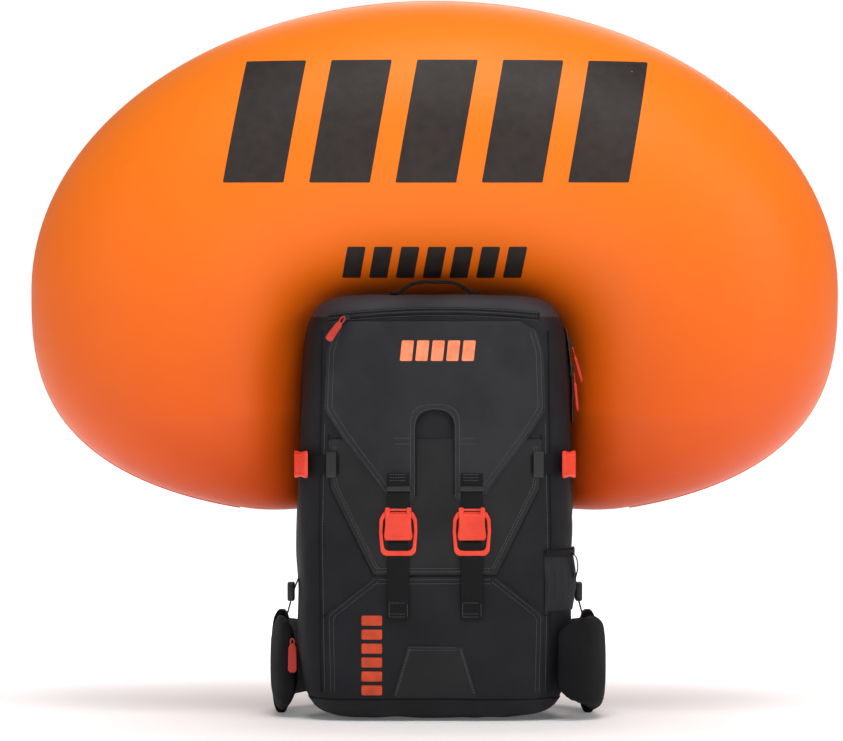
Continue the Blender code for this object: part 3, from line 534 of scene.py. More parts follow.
airbag_cloth = airbag_nylon()


# ----------------------------------------------------------------- airbag

NOTCH_HALF_WIDTH, NOTCH_RISE, NOTCH_CENTRE = 0.172, 0.150, 0.420
AIR_HALF_WIDTH, AIR_WIDEST = AIR_HIGH.x, 0.591
AIR_RISE, AIR_FALL = AIR_HIGH.z - AIR_WIDEST, 0.320
AIR_HALF_DEPTH = SEAM_Y - AIR_LOW.y
LOBE_REACH = math.radians(126)


def outline_radius(angle):
    """From the notch's centre to the airbag's edge, at this angle from straight up."""
    near, far = 0.0, 2 * AIR_HALF_WIDTH
    for _ in range(30):
        middle = (near + far) / 2
        x = abs(middle * math.sin(angle)) / AIR_HALF_WIDTH
        height = NOTCH_CENTRE + middle * math.cos(angle) - AIR_WIDEST
        power, reach = (2, AIR_RISE) if height >= 0 else (2.8, AIR_FALL)
        inside = x**power + (abs(height) / reach) ** power < 1
        near, far = (middle, far) if inside else (near, middle)
    return near


def notch_radius(angle):
    across, up = abs(math.sin(angle)), math.cos(angle)
    if up <= 0:
        return NOTCH_HALF_WIDTH / across
    return ((across / NOTCH_HALF_WIDTH) ** 5 + (up / NOTCH_RISE) ** 5) ** -0.2


def airbag_point(angle, turn, lift=0.0):
    """A point of the inflated skin; turn goes round a spoke from its outer seam."""
    outer, inner = outline_radius(angle), notch_radius(angle)
    middle, half = (outer + inner) / 2, (outer - inner) / 2
    full = (AIR_WIDEST + AIR_RISE - NOTCH_CENTRE - NOTCH_RISE) / 2
    depth = AIR_HALF_DEPTH * min(1.0, half / (0.82 * full)) ** 0.6
    closing = max(0.0, (abs(angle) / LOBE_REACH - 0.93) / 0.07)
    taper = math.sqrt(max(0.0, 1 - closing**2))
    # Short puckers run in from the seam, where the flat-cut cloth has cloth to spare
    spare = abs(math.cos(turn)) ** 6
    pucker = 0.0016 * spare * (noise.noise(Vector((angle * 22, 3.0, 0))) + 0.5 * math.sin(angle * 75))
    radius = middle + (half * taper + lift) * math.cos(turn)
    y = (depth * taper + lift + pucker) * math.sin(turn)
    return Vector((radius * math.sin(angle), SEAM_Y + y, NOTCH_CENTRE + radius * math.cos(angle)))


bm = bmesh.new()
bmesh.ops.create_grid(bm, x_segments=240, y_segments=88, size=1)
for vert in bm.verts:
    vert.co = airbag_point(vert.co.x * LOBE_REACH, (vert.co.y + 1) * math.pi)
bmesh.ops.remove_doubles(bm, verts=bm.verts, dist=1e-5)
bmesh.ops.dissolve_degenerate(bm, edges=bm.edges, dist=1e-6)
bmesh.ops.holes_fill(bm, edges=[edge for edge in bm.edges if edge.is_boundary])
bmesh.ops.recalc_face_normals(bm, faces=bm.faces)
airbag_skin = finish_piece(
    "airbag_skin", bm, airbag_cloth, "pack", ("airbag_front", "airbag_rear"), smooth=60
)

# The welded seam all round the outer edge: a flat fin of the two cloths
rim = [airbag_point(LOBE_REACH * 0.92 * (i / 90 - 1), 0.0, -0.001) for i in range(181)]
outward = [(airbag_point(LOBE_REACH * 0.92 * (i / 90 - 1), 0.0, 0.01) - p) for i, p in enumerate(rim)]
fin = strap(rim, section(0.0045, 0.0014, 3.0, 8), outward)
finish_piece("airbag_seam", fin, airbag_cloth, "pack")


# --------------------------------------------------------------- bag body

CROWN = BAG_HIGH.z
BASE = BAG_LOW.z
HALF_WIDTH = BAG_HIGH.x
MID_Y = (BAG_LOW.y + BAG_HIGH.y) / 2
HALF_DEPTH = (BAG_HIGH.y - BAG_LOW.y) / 2 - 0.0005
REAR_CROWN = 0.510
YOKE_HEIGHT = 0.5515
BOOT_HEIGHT = 0.030
WIDTH_AT = ((0.0, 0.955), (0.17, 1.0), (0.43, 1.0), (0.70, 0.99), (0.90, 0.965), (1.0, 0.95))


def lerp_table(table, value):
    for (x0, y0), (x1, y1) in zip(table, table[1:]):
        if value <= x1:
            return y0 + (y1 - y0) * max(0.0, value - x0) / (x1 - x0)
    return table[-1][1]


def bag_point(direction):
    """A point of the stuffed bag: a soft box, square in its sides and a little rounder in plan."""
    x, y, z = direction
    around = (abs(x) ** 4.6 + abs(y) ** 4.6) ** (9 / 4.6)
    x, y, z = Vector((x, y, z)) / (around + abs(z) ** 9) ** (1 / 9)
    share = (z + 1) / 2
    depth = MID_Y + y * HALF_DEPTH
    drop = (CROWN - REAR_CROWN) * max(0.0, (depth + 0.045) / (BAG_HIGH.y + 0.045))
    height = BASE + (CROWN - BASE) * share - drop * share**3
    return Vector((x * HALF_WIDTH * lerp_table(WIDTH_AT, share), depth, height))


def crease(point):
    """Soft slack in the cloth: broad swells, and shallow folds that run down the sides."""
    swell = 0.0024 * noise.noise(point * 9.0) + 0.0012 * noise.noise(point * 24.0)
    x, y, z = point
    side = min(1.0, max(0.0, (abs(x) - 0.12) / 0.05))
    fold = 0.0034 * side * noise.noise(Vector((y * 34, z * 9, x * 3)))
    low = 0.0016 * max(0.0, 1 - z / 0.12) * noise.noise(Vector((x * 30, y * 30, z * 60)))
    return swell + fold + low - 0.0012


bm = bmesh.new()
bmesh.ops.create_cube(bm, size=2)
bmesh.ops.subdivide_edges(bm, edges=bm.edges[:], cuts=62, use_grid_fill=True)
for vert in bm.verts:
    # Even the spacing out, so corners aren't crowded
    vert.co = bag_point([math.tan(value * math.pi / 4) for value in vert.co])
bm.normal_update()
for vert in bm.verts:
    vert.co += vert.normal * crease(vert.co)
for height in (YOKE_HEIGHT, BOOT_HEIGHT):
    geometry = bm.verts[:] + bm.edges[:] + bm.faces[:]
    bmesh.ops.bisect_plane(bm, geom=geometry, plane_co=(0, 0, height), plane_no=(0, 0, 1), dist=1e-5)
bmesh.ops.recalc_face_normals(bm, faces=bm.faces)
boot = bm.copy()
bag_body = finish_piece("bag_body", bm, side_cloth, "pack", ("bag_shell",), 0)
bag_tree = tree_of(bag_body)
bag_body.data.materials.append(yoke_cloth)
bag_body.data.materials.append(pack_cloth)
for polygon in bag_body.data.polygons:
    if polygon.center.z > YOKE_HEIGHT:
        polygon.material_index = 1
    elif polygon.center.y < -0.11 and abs(polygon.center.x) < 0.152:
        polygon.material_index = 2

# Base boot: a tougher skin folded up round the foot of the bag
bm = boot
above = [face for face in bm.faces if face.calc_center_median().z > BOOT_HEIGHT]
bmesh.ops.delete(bm, geom=above, context="FACES")
bm.normal_update()
for vert in bm.verts:
    ripple = 0.0009 * noise.noise(Vector((vert.co.x * 45, vert.co.y * 45, vert.co.z * 90)))
    vert.co += vert.normal * (0.0012 + ripple)
    vert.co.z = max(vert.co.z, 0.0004)
boot_piece = finish_piece("base_boot", bm, pack_cloth, "pack", ("bottom_boot",), 60)
give_thickness(boot_piece, 0.0012, 0.0004, 0.0)


# ------------------------------------------------- panels, seams, stitches


def resample(points, step):
    """Points evenly spaced along a polyline."""
    points = [Vector(point) for point in points]
    found, ahead = [points[0]], step
    for start, end in zip(points, points[1:]):
        length = (end - start).length
        while length > 0 and ahead <= length:
            found.append(start.lerp(end, ahead / length))
            ahead += step
        ahead -= length
    return found


def on_front(points, tree, lift=0.0, step=0.004):
    """A line of the XZ plane laid on the front of a surface."""
    found = []
    for x, z in resample(points, step):
        hit, normal = front_of(tree, x, z)
        if hit:
            found.append(hit + Vector((0, -lift, 0)))
    return found


def piping(name, lines, radius, material, across=(0, -1, 0)):
    """Thin round seams along lines of points."""
    bm = bmesh.new()
    for line in lines:
        join(bm, strap(line, section(radius * 2, radius * 2, 2.0, 6), across))
    return finish_piece(name, bm, material, "pack", smooth=60)


def stitches(
    name, lines, body="pack", spacing=3.6 * MM, size=(2.3 * MM, 0.6 * MM), out=(0, -1, 0)
):
    """Rows of lockstitch: one small raised loop of thread per stitch, along lines of points."""
    bm = bmesh.new()
    for line in lines:
        marks = resample(line, spacing)
        for here, ahead in zip(marks, marks[1:]):
            along = (ahead - here).normalized()
            side = along.cross(Vector(out)).normalized()
            stitch = bmesh.ops.create_cube(bm, size=1)["verts"]
            up = side.cross(along)
            for vert in stitch:
                x, y, z = vert.co
                taper = 0.7 if z > 0 else 1.0
                spot = along * (x * size[0] * taper) + side * (y * size[1] * taper) + up * (z * size[1])
                vert.co = (here + ahead) / 2 + spot
    return finish_piece(name, bm, thread, body, smooth=80)


def flip(points):
    return [(-x, z) for x, z in points]


def declare_sheet(outline):
    """Works out the area inside a cloth panel's flat outline, and keeps nothing of it."""
    pairs = zip(outline, outline[1:] + outline[:1])
    area = abs(sum(ax * bz - bx * az for (ax, az), (bx, bz) in pairs)) / 2


def panel(name, outline, lift, thickness, material, replaced=(), relief=None, cell=0.006):
    """A cloth panel laid on the front of the bag."""
    bm = sheet_from(outline, cell)
    drape(bm, bag_tree, lift, relief)
    face_front(bm)
    made = finish_piece(name, bm, material, "pack", replaced, 0)
    give_thickness(made, thickness, 0.0004)
    declare_sheet(outline)
    return made


def cloth_relief(height, scale, seed):
    return lambda x, z: height * noise.noise(Vector((x * scale, z * scale, seed)))


FLAP = [
    (0.115, 0.5445, 0.006),
    (0.138, 0.532, 0.012),
    (0.146, 0.505, 0.015),
    (0.149, 0.425, 0.010),
    (0.126, 0.389, 0.014),
    (0.066, 0.308, 0.005),
    (0.063, 0.300, 0.002),
    (0.031, 0.300, 0.002),
    (0.025, 0.308, 0.006),
    (0.025, 0.423, 0.025),
]


def flap_relief(x, z):
    """Broad soft folds, which die away down the legs where the webs are sewn on."""
    broad = noise.noise(Vector((x * 14, z * 10, 5)))
    fine = noise.noise(Vector(((x + abs(z - 0.42)) * 34, (z - x) * 12, 1)))
    return (0.0022 * broad + 0.0016 * fine) * min(1.0, max(0.0, (z - 0.345) / 0.06))


flap = panel(
    "front_flap_cover",
    rounded(mirrored(FLAP)),
    0.0022,
    0.0022,
    flap_cloth,
    ("front_flap",),
    flap_relief,
)
flap_tree = tree_of(flap)

LOWER = [(0.083, 0.197, 0.004), (0.147, 0.146, 0.008), (0.145, 0.031, 0.008)]
lower = panel(
    "lower_panel_cover",
    rounded(mirrored(LOWER)),
    0.0008,
    0.0014,
    pack_cloth,
    ("lower_front_panel",),
    cloth_relief(0.0026, 20, 2),
)
lower_tree = tree_of(lower)

# A glossier insert low in the middle, with a turned hem along its top
INSERT = [(0.0375, 0.1034, 0.003), (0.0575, 0.033, 0.004)]
bm = sheet_from(rounded(mirrored(INSERT)), 0.004)
drape(bm, lower_tree, 0.0004, cloth_relief(0.0009, 55, 9))
face_front(bm)
insert = finish_piece("base_insert", bm, sleek_cloth, "pack", smooth=0)
give_thickness(insert, 0.0009, 0.0003)
declare_sheet(rounded(mirrored(INSERT)))
insert_tree = tree_of(insert)

# Side panels of the waist: between the flap's legs and the lower panel
WAIST = [(0.1450, 0.3845, 0.004), (0.1415, 0.318, 0.012), (0.0835, 0.2005, 0.003)]
waist = panel(
    "waist_panel_cover",
    rounded(mirrored(WAIST)),
    0.0011,
    0.0012,
    sleek_cloth,
    (),
    lambda x, z: 0.0020 * noise.noise(Vector((x * 30, z * 19, 4))) * min(1.0, abs(abs(x) - 0.05) / 0.03),
)
waist_tree = tree_of(waist)


def inset_line(corners, inset):
    """A line beside a chain of corners, this far to its left as the chain runs."""
    points = [Vector(corner[:2]) for corner in corners]
    moved = []
    for i, here in enumerate(points):
        before = (here - points[i - 1]).normalized() if i else None
        after = (points[i + 1] - here).normalized() if i + 1 < len(points) else None
        along = ((before or after) + (after or before)).normalized()
        normal = Vector((-along.y, along.x))
        stretch = 1 / max(0.4, along.dot(before or after))
        moved.append(tuple(here + normal * inset * stretch))
    return moved


def bent(corners, inset, radius=0.01):
    """An inset line of a chain of corners, with its turns rounded."""
    line = inset_line(corners, inset)
    ends = [(*line[0], 0)] + [(*point, radius) for point in line[1:-1]] + [(*line[-1], 0)]
    return rounded([(line[0][0], line[0][1] - 1, 0)] + ends + [(line[-1][0], line[-1][1] - 1, 0)])[1:-1]


def both_sides(corners, tree):
    """A line laid on the front, and its mirror image on the other side."""
    return [on_front(corners, tree), on_front(flip(corners), tree)]


arch = [(0.025, 0.306), (0.025, 0.423), (-0.025, 0.423), (-0.025, 0.306)]
rows = []
for inset in (-0.0025, -0.0085):
    edge = bent(FLAP[1:7], inset, 0.012)
    rows += both_sides(edge, flap_tree)
for inset in (-0.003, -0.0085):
    rows.append(on_front(bent(arch, inset, 0.026), flap_tree))
for z in (0.3035, 0.3075, 0.3135, 0.378, 0.386):
    rows += [on_front([(sign * 0.034, z), (sign * 0.061, z)], flap_tree) for sign in (-1, 1)]
stitches("flap_stitching", rows)

# Raised binding round the flap's arch and along its proud diagonal edges
binding = on_front(bent(arch, -0.0008, 0.025), flap_tree, 0.0, 0.003)
piping("flap_arch_binding", [binding], 0.0012, binding_tape)
edges = [on_front(bent(FLAP[2:6], 0.0, 0.012), flap_tree, -0.0006, 0.004)]
edges.append(on_front(flip(bent(FLAP[2:6], 0.0, 0.012)), flap_tree, -0.0006, 0.004))
piping("flap_edge_piping", edges, 0.0017, flap_cloth)

lower_edge = [(0.083, 0.197), (0.147, 0.146), (0.145, 0.036)]
rows = []
for inset in (-0.003, -0.0085):
    edge = bent(lower_edge, inset, 0.008)
    rows += both_sides(edge, lower_tree)
for z in (0.1935, 0.1880):
    rows.append(on_front([(-0.079, z), (0.079, z)], lower_tree))
for inset in (0.0025, 0.006):
    side = [(0.0365 - inset / 2, 0.1000), (0.0565 - inset / 2, 0.034)]
    rows += both_sides(side, insert_tree)
    rows.append(on_front([(-0.036, 0.1034 - inset), (0.036, 0.1034 - inset)], insert_tree))
for z in (0.2045, 0.2085):
    rows.append(on_front([(-0.080, z), (0.080, z)], waist_tree))
for x in (-0.003, -0.0065):
    side = [(0.1415 + x, 0.375), (0.1400 + x, 0.322), (0.0835 + x, 0.208)]
    rows += both_sides(side, waist_tree)
stitches("panel_stitching", rows)

seam_lines = []
for sign in (-1, 1):
    seam_lines.append(
        on_front([(sign * 0.1555, 0.040), (sign * 0.1585, 0.25), (sign * 0.1545, 0.535)], bag_tree, 0.0002)
    )
    seam_lines.append(on_front([(sign * 0.147, 0.1465), (sign * 0.1575, 0.142)], bag_tree, 0.0002))
    seam_lines.append(
        on_front([(sign * 0.0842, 0.1995), (sign * 0.1420, 0.317), (sign * 0.1455, 0.392)], bag_tree, 0.0008)
    )
piping("body_seam_piping", seam_lines, 0.0013, binding_tape)
rows = [
    on_front([(s * 0.1505, 0.040), (s * 0.1535, 0.25), (s * 0.150, 0.41)], bag_tree, 0.0002)
    for s in (-1, 1)
]
stitches("body_stitching", rows)


# ------------------------------------------------ straps and front buckles


def web_strap(
    name, path, body="pack", width=0.030, thickness=0.0022, across=(1, 0, 0), replaced=()
):
    """Flat woven webbing along a path."""
    bm = strap(path, section(width, thickness, 6.0, 20), across)
    return finish_piece(name, bm, webbing, body, replaced, 50)


def ring(outer, inner, near, far, bevel):
    """A moulded loop between two outlines of the same count, with rounded edges."""
    bm = bmesh.new()
    loops = []
    for outline in (outer, inner):
        verts = [bm.verts.new((x, near, z)) for x, z in outline]
        loops += [bm.edges.new(pair) for pair in zip(verts, verts[1:] + verts[:1])]
    bmesh.ops.bridge_loops(bm, edges=loops)
    made = bmesh.ops.extrude_face_region(bm, geom=bm.faces[:])
    moved = [item for item in made["geom"] if isinstance(item, bmesh.types.BMVert)]
    bmesh.ops.translate(bm, vec=(0, far - near, 0), verts=moved)
    bmesh.ops.recalc_face_normals(bm, faces=bm.faces)
    rims = [edge for edge in bm.edges if not edge.is_manifold or edge.calc_face_angle(0) > math.radians(60)]
    bmesh.ops.bevel(bm, geom=rims, offset=bevel, segments=3, profile=0.5, affect="EDGES", material=-1)
    return bm


def shifted(outline, x, z):
    return [(px + x, pz + z) for px, pz in outline]


RING_OUTER = [
    (0.0200, 0.0603, 0.006), (0.0255, 0.0500, 0.010), (0.0262, 0.0330, 0.014), (0.0240, 0.0050, 0.010),
    (0.0185, 0.0, 0.007)
]
RING_INNER = [
    (0.0155, 0.0565, 0.004), (0.0205, 0.0480, 0.008), (0.0214, 0.0330, 0.012), (0.0192, 0.0105, 0.006),
    (0.0150, 0.0072, 0.004)
]
for side, sign in SIDES:
    low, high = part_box(f"buckle_frame_{side}")
    x = (low.x + high.x) / 2
    outer = shifted(rounded(mirrored(RING_OUTER), 5), x, low.z)
    inner = shifted(rounded(mirrored(RING_INNER), 5), x, low.z)
    bm = ring(outer, inner, low.y, high.y, 0.0011)
    finish_piece(f"buckle_ring_{side}", bm, red_acetal, "pack", (f"buckle_frame_{side}",), 50)

    # The hook: a pillowed plate that flares at its foot, with two round ears either side of the web's slot
    low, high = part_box(f"buckle_hook_{side}")
    foot, top = low.z, high.z
    plate = [
        (0.0178, top - 0.009 - foot, 0.003), (0.0178, 0.020, 0.010), (0.0196, 0.006, 0.005),
        (0.0180, 0.0, 0.003)
    ]
    bm = prism(shifted(rounded(mirrored(plate), 5), x, foot), low.y + 0.0004, high.y - 0.001, 0.0022, 4)
    for ear in (-1, 1):
        arm = rounded_box(
            (
                x + ear * 0.0145 - 0.0036, low.y, top - 0.016
            ), (x + ear * 0.0145 + 0.0036, high.y, top), 0.0024, 4
        )
        join(bm, arm)
    bar = rounded_box(
        (x - 0.012, low.y + 0.0025, top - 0.0052), (x + 0.012, high.y - 0.0006, top - 0.0016), 0.0012
    )
    join(bm, bar)
    rib = rounded_box(
        (x - 0.0095, low.y - 0.0003, foot + 0.005), (x + 0.0095, low.y + 0.002, foot + 0.0075), 0.0008
    )
    join(bm, rib)
    body = f"buckle_hook_{side}"
    finish_piece(f"buckle_plate_{side}", bm, red_acetal, body, (body,), 50)

    # Webbing from the flap's leg into the hook, folded back on itself under a bar tack
    low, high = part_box(f"upper_web_{side}")
    face = (low.y + high.y) / 2
    path = [
        (x, face, high.z), (x, face, high.z - 0.02), (x, face - 0.0003, low.z + 0.012),
        (x, face - 0.0006, low.z)
    ]
    web_strap(f"flap_web_{side}", smooth_path(path, 6), replaced=(f"upper_web_{side}",))
    keeper = rounded_box((x - 0.0165, face - 0.0035, 0.3135), (x + 0.0165, face + 0.001, 0.3205), 0.0012)
    finish_piece(f"flap_web_keeper_{side}", keeper, black_acetal, "pack")
    rows = [
        [Vector((x - 0.012, face - 0.0014, z)), Vector((x + 0.012, face - 0.0014, z))]
        for z in (0.3285, 0.3325, 0.3365)
    ]
    stitches(f"flap_web_tack_{side}", rows)

    # Lower web: up from its sewn end, over the ring's bar and rolled behind the plate
    low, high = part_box(f"lower_web_{side}")
    face = (low.y + high.y) / 2
    path = [(x, face, low.z), (x, face, low.z + 0.03), (x, face - 0.0004, high.z - 0.015), (x, face, high.z)]
    web_strap(f"lower_web_strap_{side}", smooth_path(path, 6), replaced=(f"lower_web_{side}",))
    roll = [(x + across, -0.1436, 0.2390) for across in (-0.0130, -0.0126, 0.0, 0.0126, 0.0130)]
    web_strap(f"web_roll_{side}", roll, width=0.0118, thickness=0.0056, across=(0, 0, 1))
    inner_x = 0.0125
    tack = [
        [Vector((x - inner_x, face - 0.0013, z)), Vector((x + inner_x, face - 0.0013, z))]
        for z in (low.z + 0.003, low.z + 0.007, low.z + 0.022)
    ]
    tack += [
        [
            Vector((x + s * inner_x, face - 0.0013, low.z + 0.003)),
            Vector((x + s * inner_x, face - 0.0013, low.z + 0.022))
        ]
        for s in (-1, 1)
    ]
    stitches(f"lower_web_tack_{side}", tack)


# -------------------------------------------------------- side compression


def around_bag(sign, first, last, z, lift, steps=24, reach=1.0):
    """Points round the bag's side at a height; angles run from the front, in degrees."""
    found = []
    for i in range(steps + 1):
        turn = math.radians(first + (last - first) * i / steps)
        inward = Vector((-sign * math.sin(turn), math.cos(turn), 0))
        start = Vector((0, MID_Y, z)) - inward * reach
        hit = bag_tree.ray_cast(start, inward)[0]
        found.append(hit - inward * lift)
    return found


WEB_Z = (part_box("compression_web_right")[0].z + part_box("compression_web_right")[1].z) / 2
for side, sign in SIDES:
    path = around_bag(sign, 51, 95, WEB_Z, 0.0022)
    web_strap(
        f"compression_strap_{side}", path, width=0.0265, across=(0, 0, 1), replaced=(
            f"compression_web_{side}",
        )
    )
    path = around_bag(sign, 51.5, 55, WEB_Z, 0.0045, 6)
    keeper = strap(path, section(0.036, 0.0055, 6.0, 20), (0, 0, 1))
    finish_piece(f"compression_keeper_{side}", keeper, black_acetal, "pack", smooth=50)
    body = f"compression_buckle_{side}"
    start, end = Vector((sign * 0.1745, -0.1345, WEB_Z)), Vector((sign * 0.1915, -0.1035, WEB_Z))
    run = (end - start).normalized()
    out = Vector((sign * abs(run.y), -abs(run.x), 0))
    path = [start.lerp(end, i / 16) for i in range(17)]

    def waisted(share):
        """The buckle is widest at its two latch ends and rounded at their tips."""
        tip = min(1.0, min(share, 1 - share) / 0.09 + 0.55)
        return section(
            0.0375 * (1 - 0.10 * math.sin(math.pi * share) ** 2) * (0.86 + 0.14 * tip), 0.0052 * tip, 5.0,
            24
        )

    bm = strap(path, waisted, (0, 0, 1))
    for z in (-0.0135, 0.0135):
        spine = [point + out * 0.0022 + Vector((0, 0, z)) for point in path[2:-2]]
        join(bm, strap(spine, section(0.004, 0.0024, 3.0, 10), (0, 0, 1)))
    for share in (0.28, 0.72):
        bar = path[round(share * 16)] + out * 0.0022
        join(
            bm,
            strap(
                [bar + Vector((0, 0, z)) for z in (-0.0125, 0, 0.0125)], section(0.0035, 0.002, 3.0, 8),
                end - start
            )
        )
    finish_piece(f"side_release_buckle_{side}", bm, red_acetal, body, (body,), 50)


# ------------------------------------------------------------ grab handle

low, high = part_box("grab_handle")
y, top = (low.y + high.y) / 2, high.z - 0.0015
right = [
    (high.x, low.z + 0.001), (0.050, low.z + 0.0015), (0.041, low.z + 0.008), (0.026, top - 0.001),
    (0.0, top)
]
route = [(x, y, z) for x, z in right] + [(-x, y, z) for x, z in right[-2::-1]]
handle_path = smooth_path(route, 8)
web_strap(
    "carry_handle", handle_path, width=0.024, thickness=0.0044, across=(0, 1, 0), replaced=("grab_handle",)
)
rows = []
for x in (-1, 1):
    rows += [
        [Vector((x * 0.0605, y + s, low.z + 0.0028)), Vector((x * 0.0505, y + s * 0.4, low.z + 0.0030))]
        for s in (-0.009, 0.009)
    ]
stitches("handle_bar_tack", rows, out=(0, 0, 1))


# ----------------------------------------------------------------- zips


def arch_height(x):
    """The top zip's gentle arch across the front."""
    return 0.5578 - 0.0085 * ((x - 0.010) / 0.150) ** 2


arc = [(x / 1000, arch_height(x / 1000)) for x in range(-145, 146, 5)]
line = on_front(arc, bag_tree, 0.0012, 0.004)
bm = strap(line, section(0.0125, 0.0012, 4.0, 12), (0, 0, 1))
finish_piece("top_zip_band", bm, binding_tape, "pack", ("top_zip_tape",), 50)
rows = [[point + Vector((0, -0.0007, dz)) for point in line] for dz in (-0.0050, 0.0050)]
stitches("top_zip_stitching", rows)


def coil(name, line, out, radius=0.0016, pitch=0.0024):
    """The zip's sewn coil: a ridge of small turns down the middle of its tape."""
    bm = bmesh.new()
    marks = resample(line, pitch)
    for here, ahead in zip(marks, marks[1:]):
        along = (ahead - here).normalized()
        side = along.cross(Vector(out)).normalized()
        tooth = bmesh.ops.create_cube(bm, size=1)["verts"]
        for vert in tooth:
            x, y, z = vert.co
            narrow = 0.6 if z > 0 else 1.0
            bead = here + along * x * pitch * 0.62 + side * y * radius * 2.4 * narrow
            vert.co = bead + Vector(out) * (z + 0.3) * radius
    return finish_piece(name, bm, black_acetal, "pack", smooth=80)


coil("top_zip_coil", [point + Vector((0, -0.0004, 0)) for point in line], (0, -1, 0))

slider_low, slider_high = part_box("top_zip_slider")
bm = rounded_box(
    (slider_low.x + 0.002, slider_low.y + 0.0015, slider_low.z),
    (slider_high.x - 0.001, slider_high.y, slider_high.z - 0.0015), 0.0018, 3
)
join(
    bm,
    rounded_box(
        (slider_low.x + 0.004, slider_low.y + 0.0002, slider_low.z + 0.003),
        (slider_high.x - 0.004, slider_low.y + 0.003, slider_high.z - 0.001), 0.0012, 3
    )
)
zip_metal, tree, shader = new_material("black painted zinc", Metallic=0.6, Roughness=0.38)
where = add_node(tree, "ShaderNodeTexCoord").outputs["Object"]
tree.links.new(
    ramp(tree, noise_map(tree, where, 300.0), 0.35, 0.8, "121214", "3a3a3e"), shader.inputs["Base Color"]
)
bump(tree, shader, noise_map(tree, where, 900.0), 0.02 * MM)
finish_piece("top_zip_carrier", bm, zip_metal, "top_zip_slider", ("top_zip_slider",), 50)


def pull_tab(
    name, top, direction, length, body, replaced, across, loop=0.011, width=0.0108, thickness=0.0028
):
    """A moulded tab with cross ridges, hung on a cord loop from its slider."""
    top, direction = Vector(top), Vector(direction).normalized()
    steps = 22
    path = [top + direction * (loop + (length - loop) * i / steps) for i in range(steps + 1)]

    def ridged(share):
        end = min(1.0, 0.45 + 4 * share, 0.55 + 5 * (1 - share))
        ridge = 0.82 if 0.25 < share < 0.85 and int(share * steps) % 3 == 0 else 1.0
        return section(width * end * (0.84 + 0.16 * share), thickness * end * ridge, 4.0, 16)

    bm = strap(path, ridged, across)
    side = Vector(across).normalized()
    side = (side - direction * side.dot(direction)).normalized()
    eye = [(0.45, 0.2), (0.9, 0.55), (0.5, 1.0), (-0.5, 1.0), (-0.9, 0.55), (-0.45, 0.2), (0.45, 0.2)]
    loop_path = [top + side * (x * 0.0030) + direction * (z * (loop + 0.0025)) for x, z in eye]
    join(bm, strap(smooth_path(loop_path, 5), section(0.0019, 0.0019, 2.0, 8), side.cross(direction)))
    return finish_piece(name, bm, deep_red_acetal, body, replaced, 50)


pull_low, pull_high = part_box("top_zip_pull")
pull_top = (-0.122, (pull_low.y + pull_high.y) / 2, 0.5525)
pull_tab("top_zip_tab", pull_top, (-0.024, 0, -0.034), 0.041, "top_zip_pull", ("top_zip_pull",), (1, 0, 0))


# ------------------------------------------------------------- side zip

tape_low, tape_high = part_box("side_zip_tape")
zip_y = (tape_low.y + tape_high.y) / 2


def down_side(sign, y, top, bottom, lift, step=0.004):
    """A line down the bag's side."""
    count = max(2, round((top - bottom) / step))
    heights = [top + (bottom - top) * i / count for i in range(count + 1)]
    return [side_of(bag_tree, sign, y, z)[0] + Vector((sign * lift, 0, 0)) for z in heights]


line = down_side(1, zip_y, tape_high.z, tape_low.z, 0.0012)
bm = strap(line, section(0.021, 0.0012, 4.0, 12), (0, 1, 0))
finish_piece("side_zip_band", bm, binding_tape, "pack", ("side_zip_tape",), 50)
coil("side_zip_coil", [point + Vector((0.0004, 0, 0)) for point in line], (1, 0, 0))
rows = [[point + Vector((0.0007, dy, 0)) for point in line] for dy in (-0.0085, 0.0085)]
stitches("side_zip_stitching", rows, out=(1, 0, 0))
for name, lean in (("upper", 15), ("lower", 5)):
    node = f"side_zip_slider_{name}"
    low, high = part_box(node)
    bm = rounded_box(
        (low.x + 0.0012, low.y + 0.0005, low.z + 0.001), (high.x, high.y - 0.0005, high.z - 0.001), 0.0014,
        3
    )
    join(
        bm,
        rounded_box(
            (high.x - 0.002, zip_y - 0.0022, low.z + 0.005),
            (high.x + 0.0008, zip_y + 0.0022, high.z - 0.003), 0.0007
        )
    )
    finish_piece(f"side_zip_carrier_{name}", bm, zip_metal, node, (node,), 50)
    node = f"side_zip_pull_{name}"
    low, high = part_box(node)
    direction = (math.sin(math.radians(lean)), 0, -math.cos(math.radians(lean)))
    top = (low.x + 0.0015, zip_y, high.z - 0.0015)
    pull_tab(
        f"side_zip_tab_{name}", top, direction, high.z - low.z - 0.003, node, (node,), (0, 1, 0), 0.015,
        thickness=0.0050
    )

# The hip pocket's tab
low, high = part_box("hip_zip_pull")
spine = [((low.x + high.x) / 2, (low.y + high.y) / 2, high.z - t * (high.z - low.z)) for t in (0.02, 0.98)]
pull_tab(
    "hip_zip_tab", spine[0], Vector(spine[1]) - Vector(spine[0]), 0.048,
    "hip_zip_pull", ("hip_zip_pull",), (1, 0, 0), 0.008, 0.0125,
)


# ---------------------------------------------------------- mesh pocket


def stretch_net():
    """Power mesh: a net of fine round holes with the dark liner showing through."""
    made, tree, shader = new_material("knitted stretch mesh", Roughness=0.75, Specular_IOR_Level=0.3)
    where = add_node(tree, "ShaderNodeTexCoord").outputs["Object"]
    hole_spacing = 2.4 * MM
    holes = add_node(
        tree, "ShaderNodeTexVoronoi", {"Vector": where, "Scale": 1 / hole_spacing, "Randomness": 0.1}
    )
    distance = holes.outputs["Distance"]
    tree.links.new(ramp(tree, distance, 0.22, 0.5, "060607", "202126"), shader.inputs["Base Color"])
    gathers = noise_map(
        tree, add_node(tree, "ShaderNodeMapping", {"Vector": where, "Scale": (3, 3, 1)}).outputs[0], 30.0
    )
    under = bump(tree, shader, gathers, 2.0 * MM, 0.7)
    bump(tree, shader, distance, 0.5 * MM, 0.8, under)
    return made


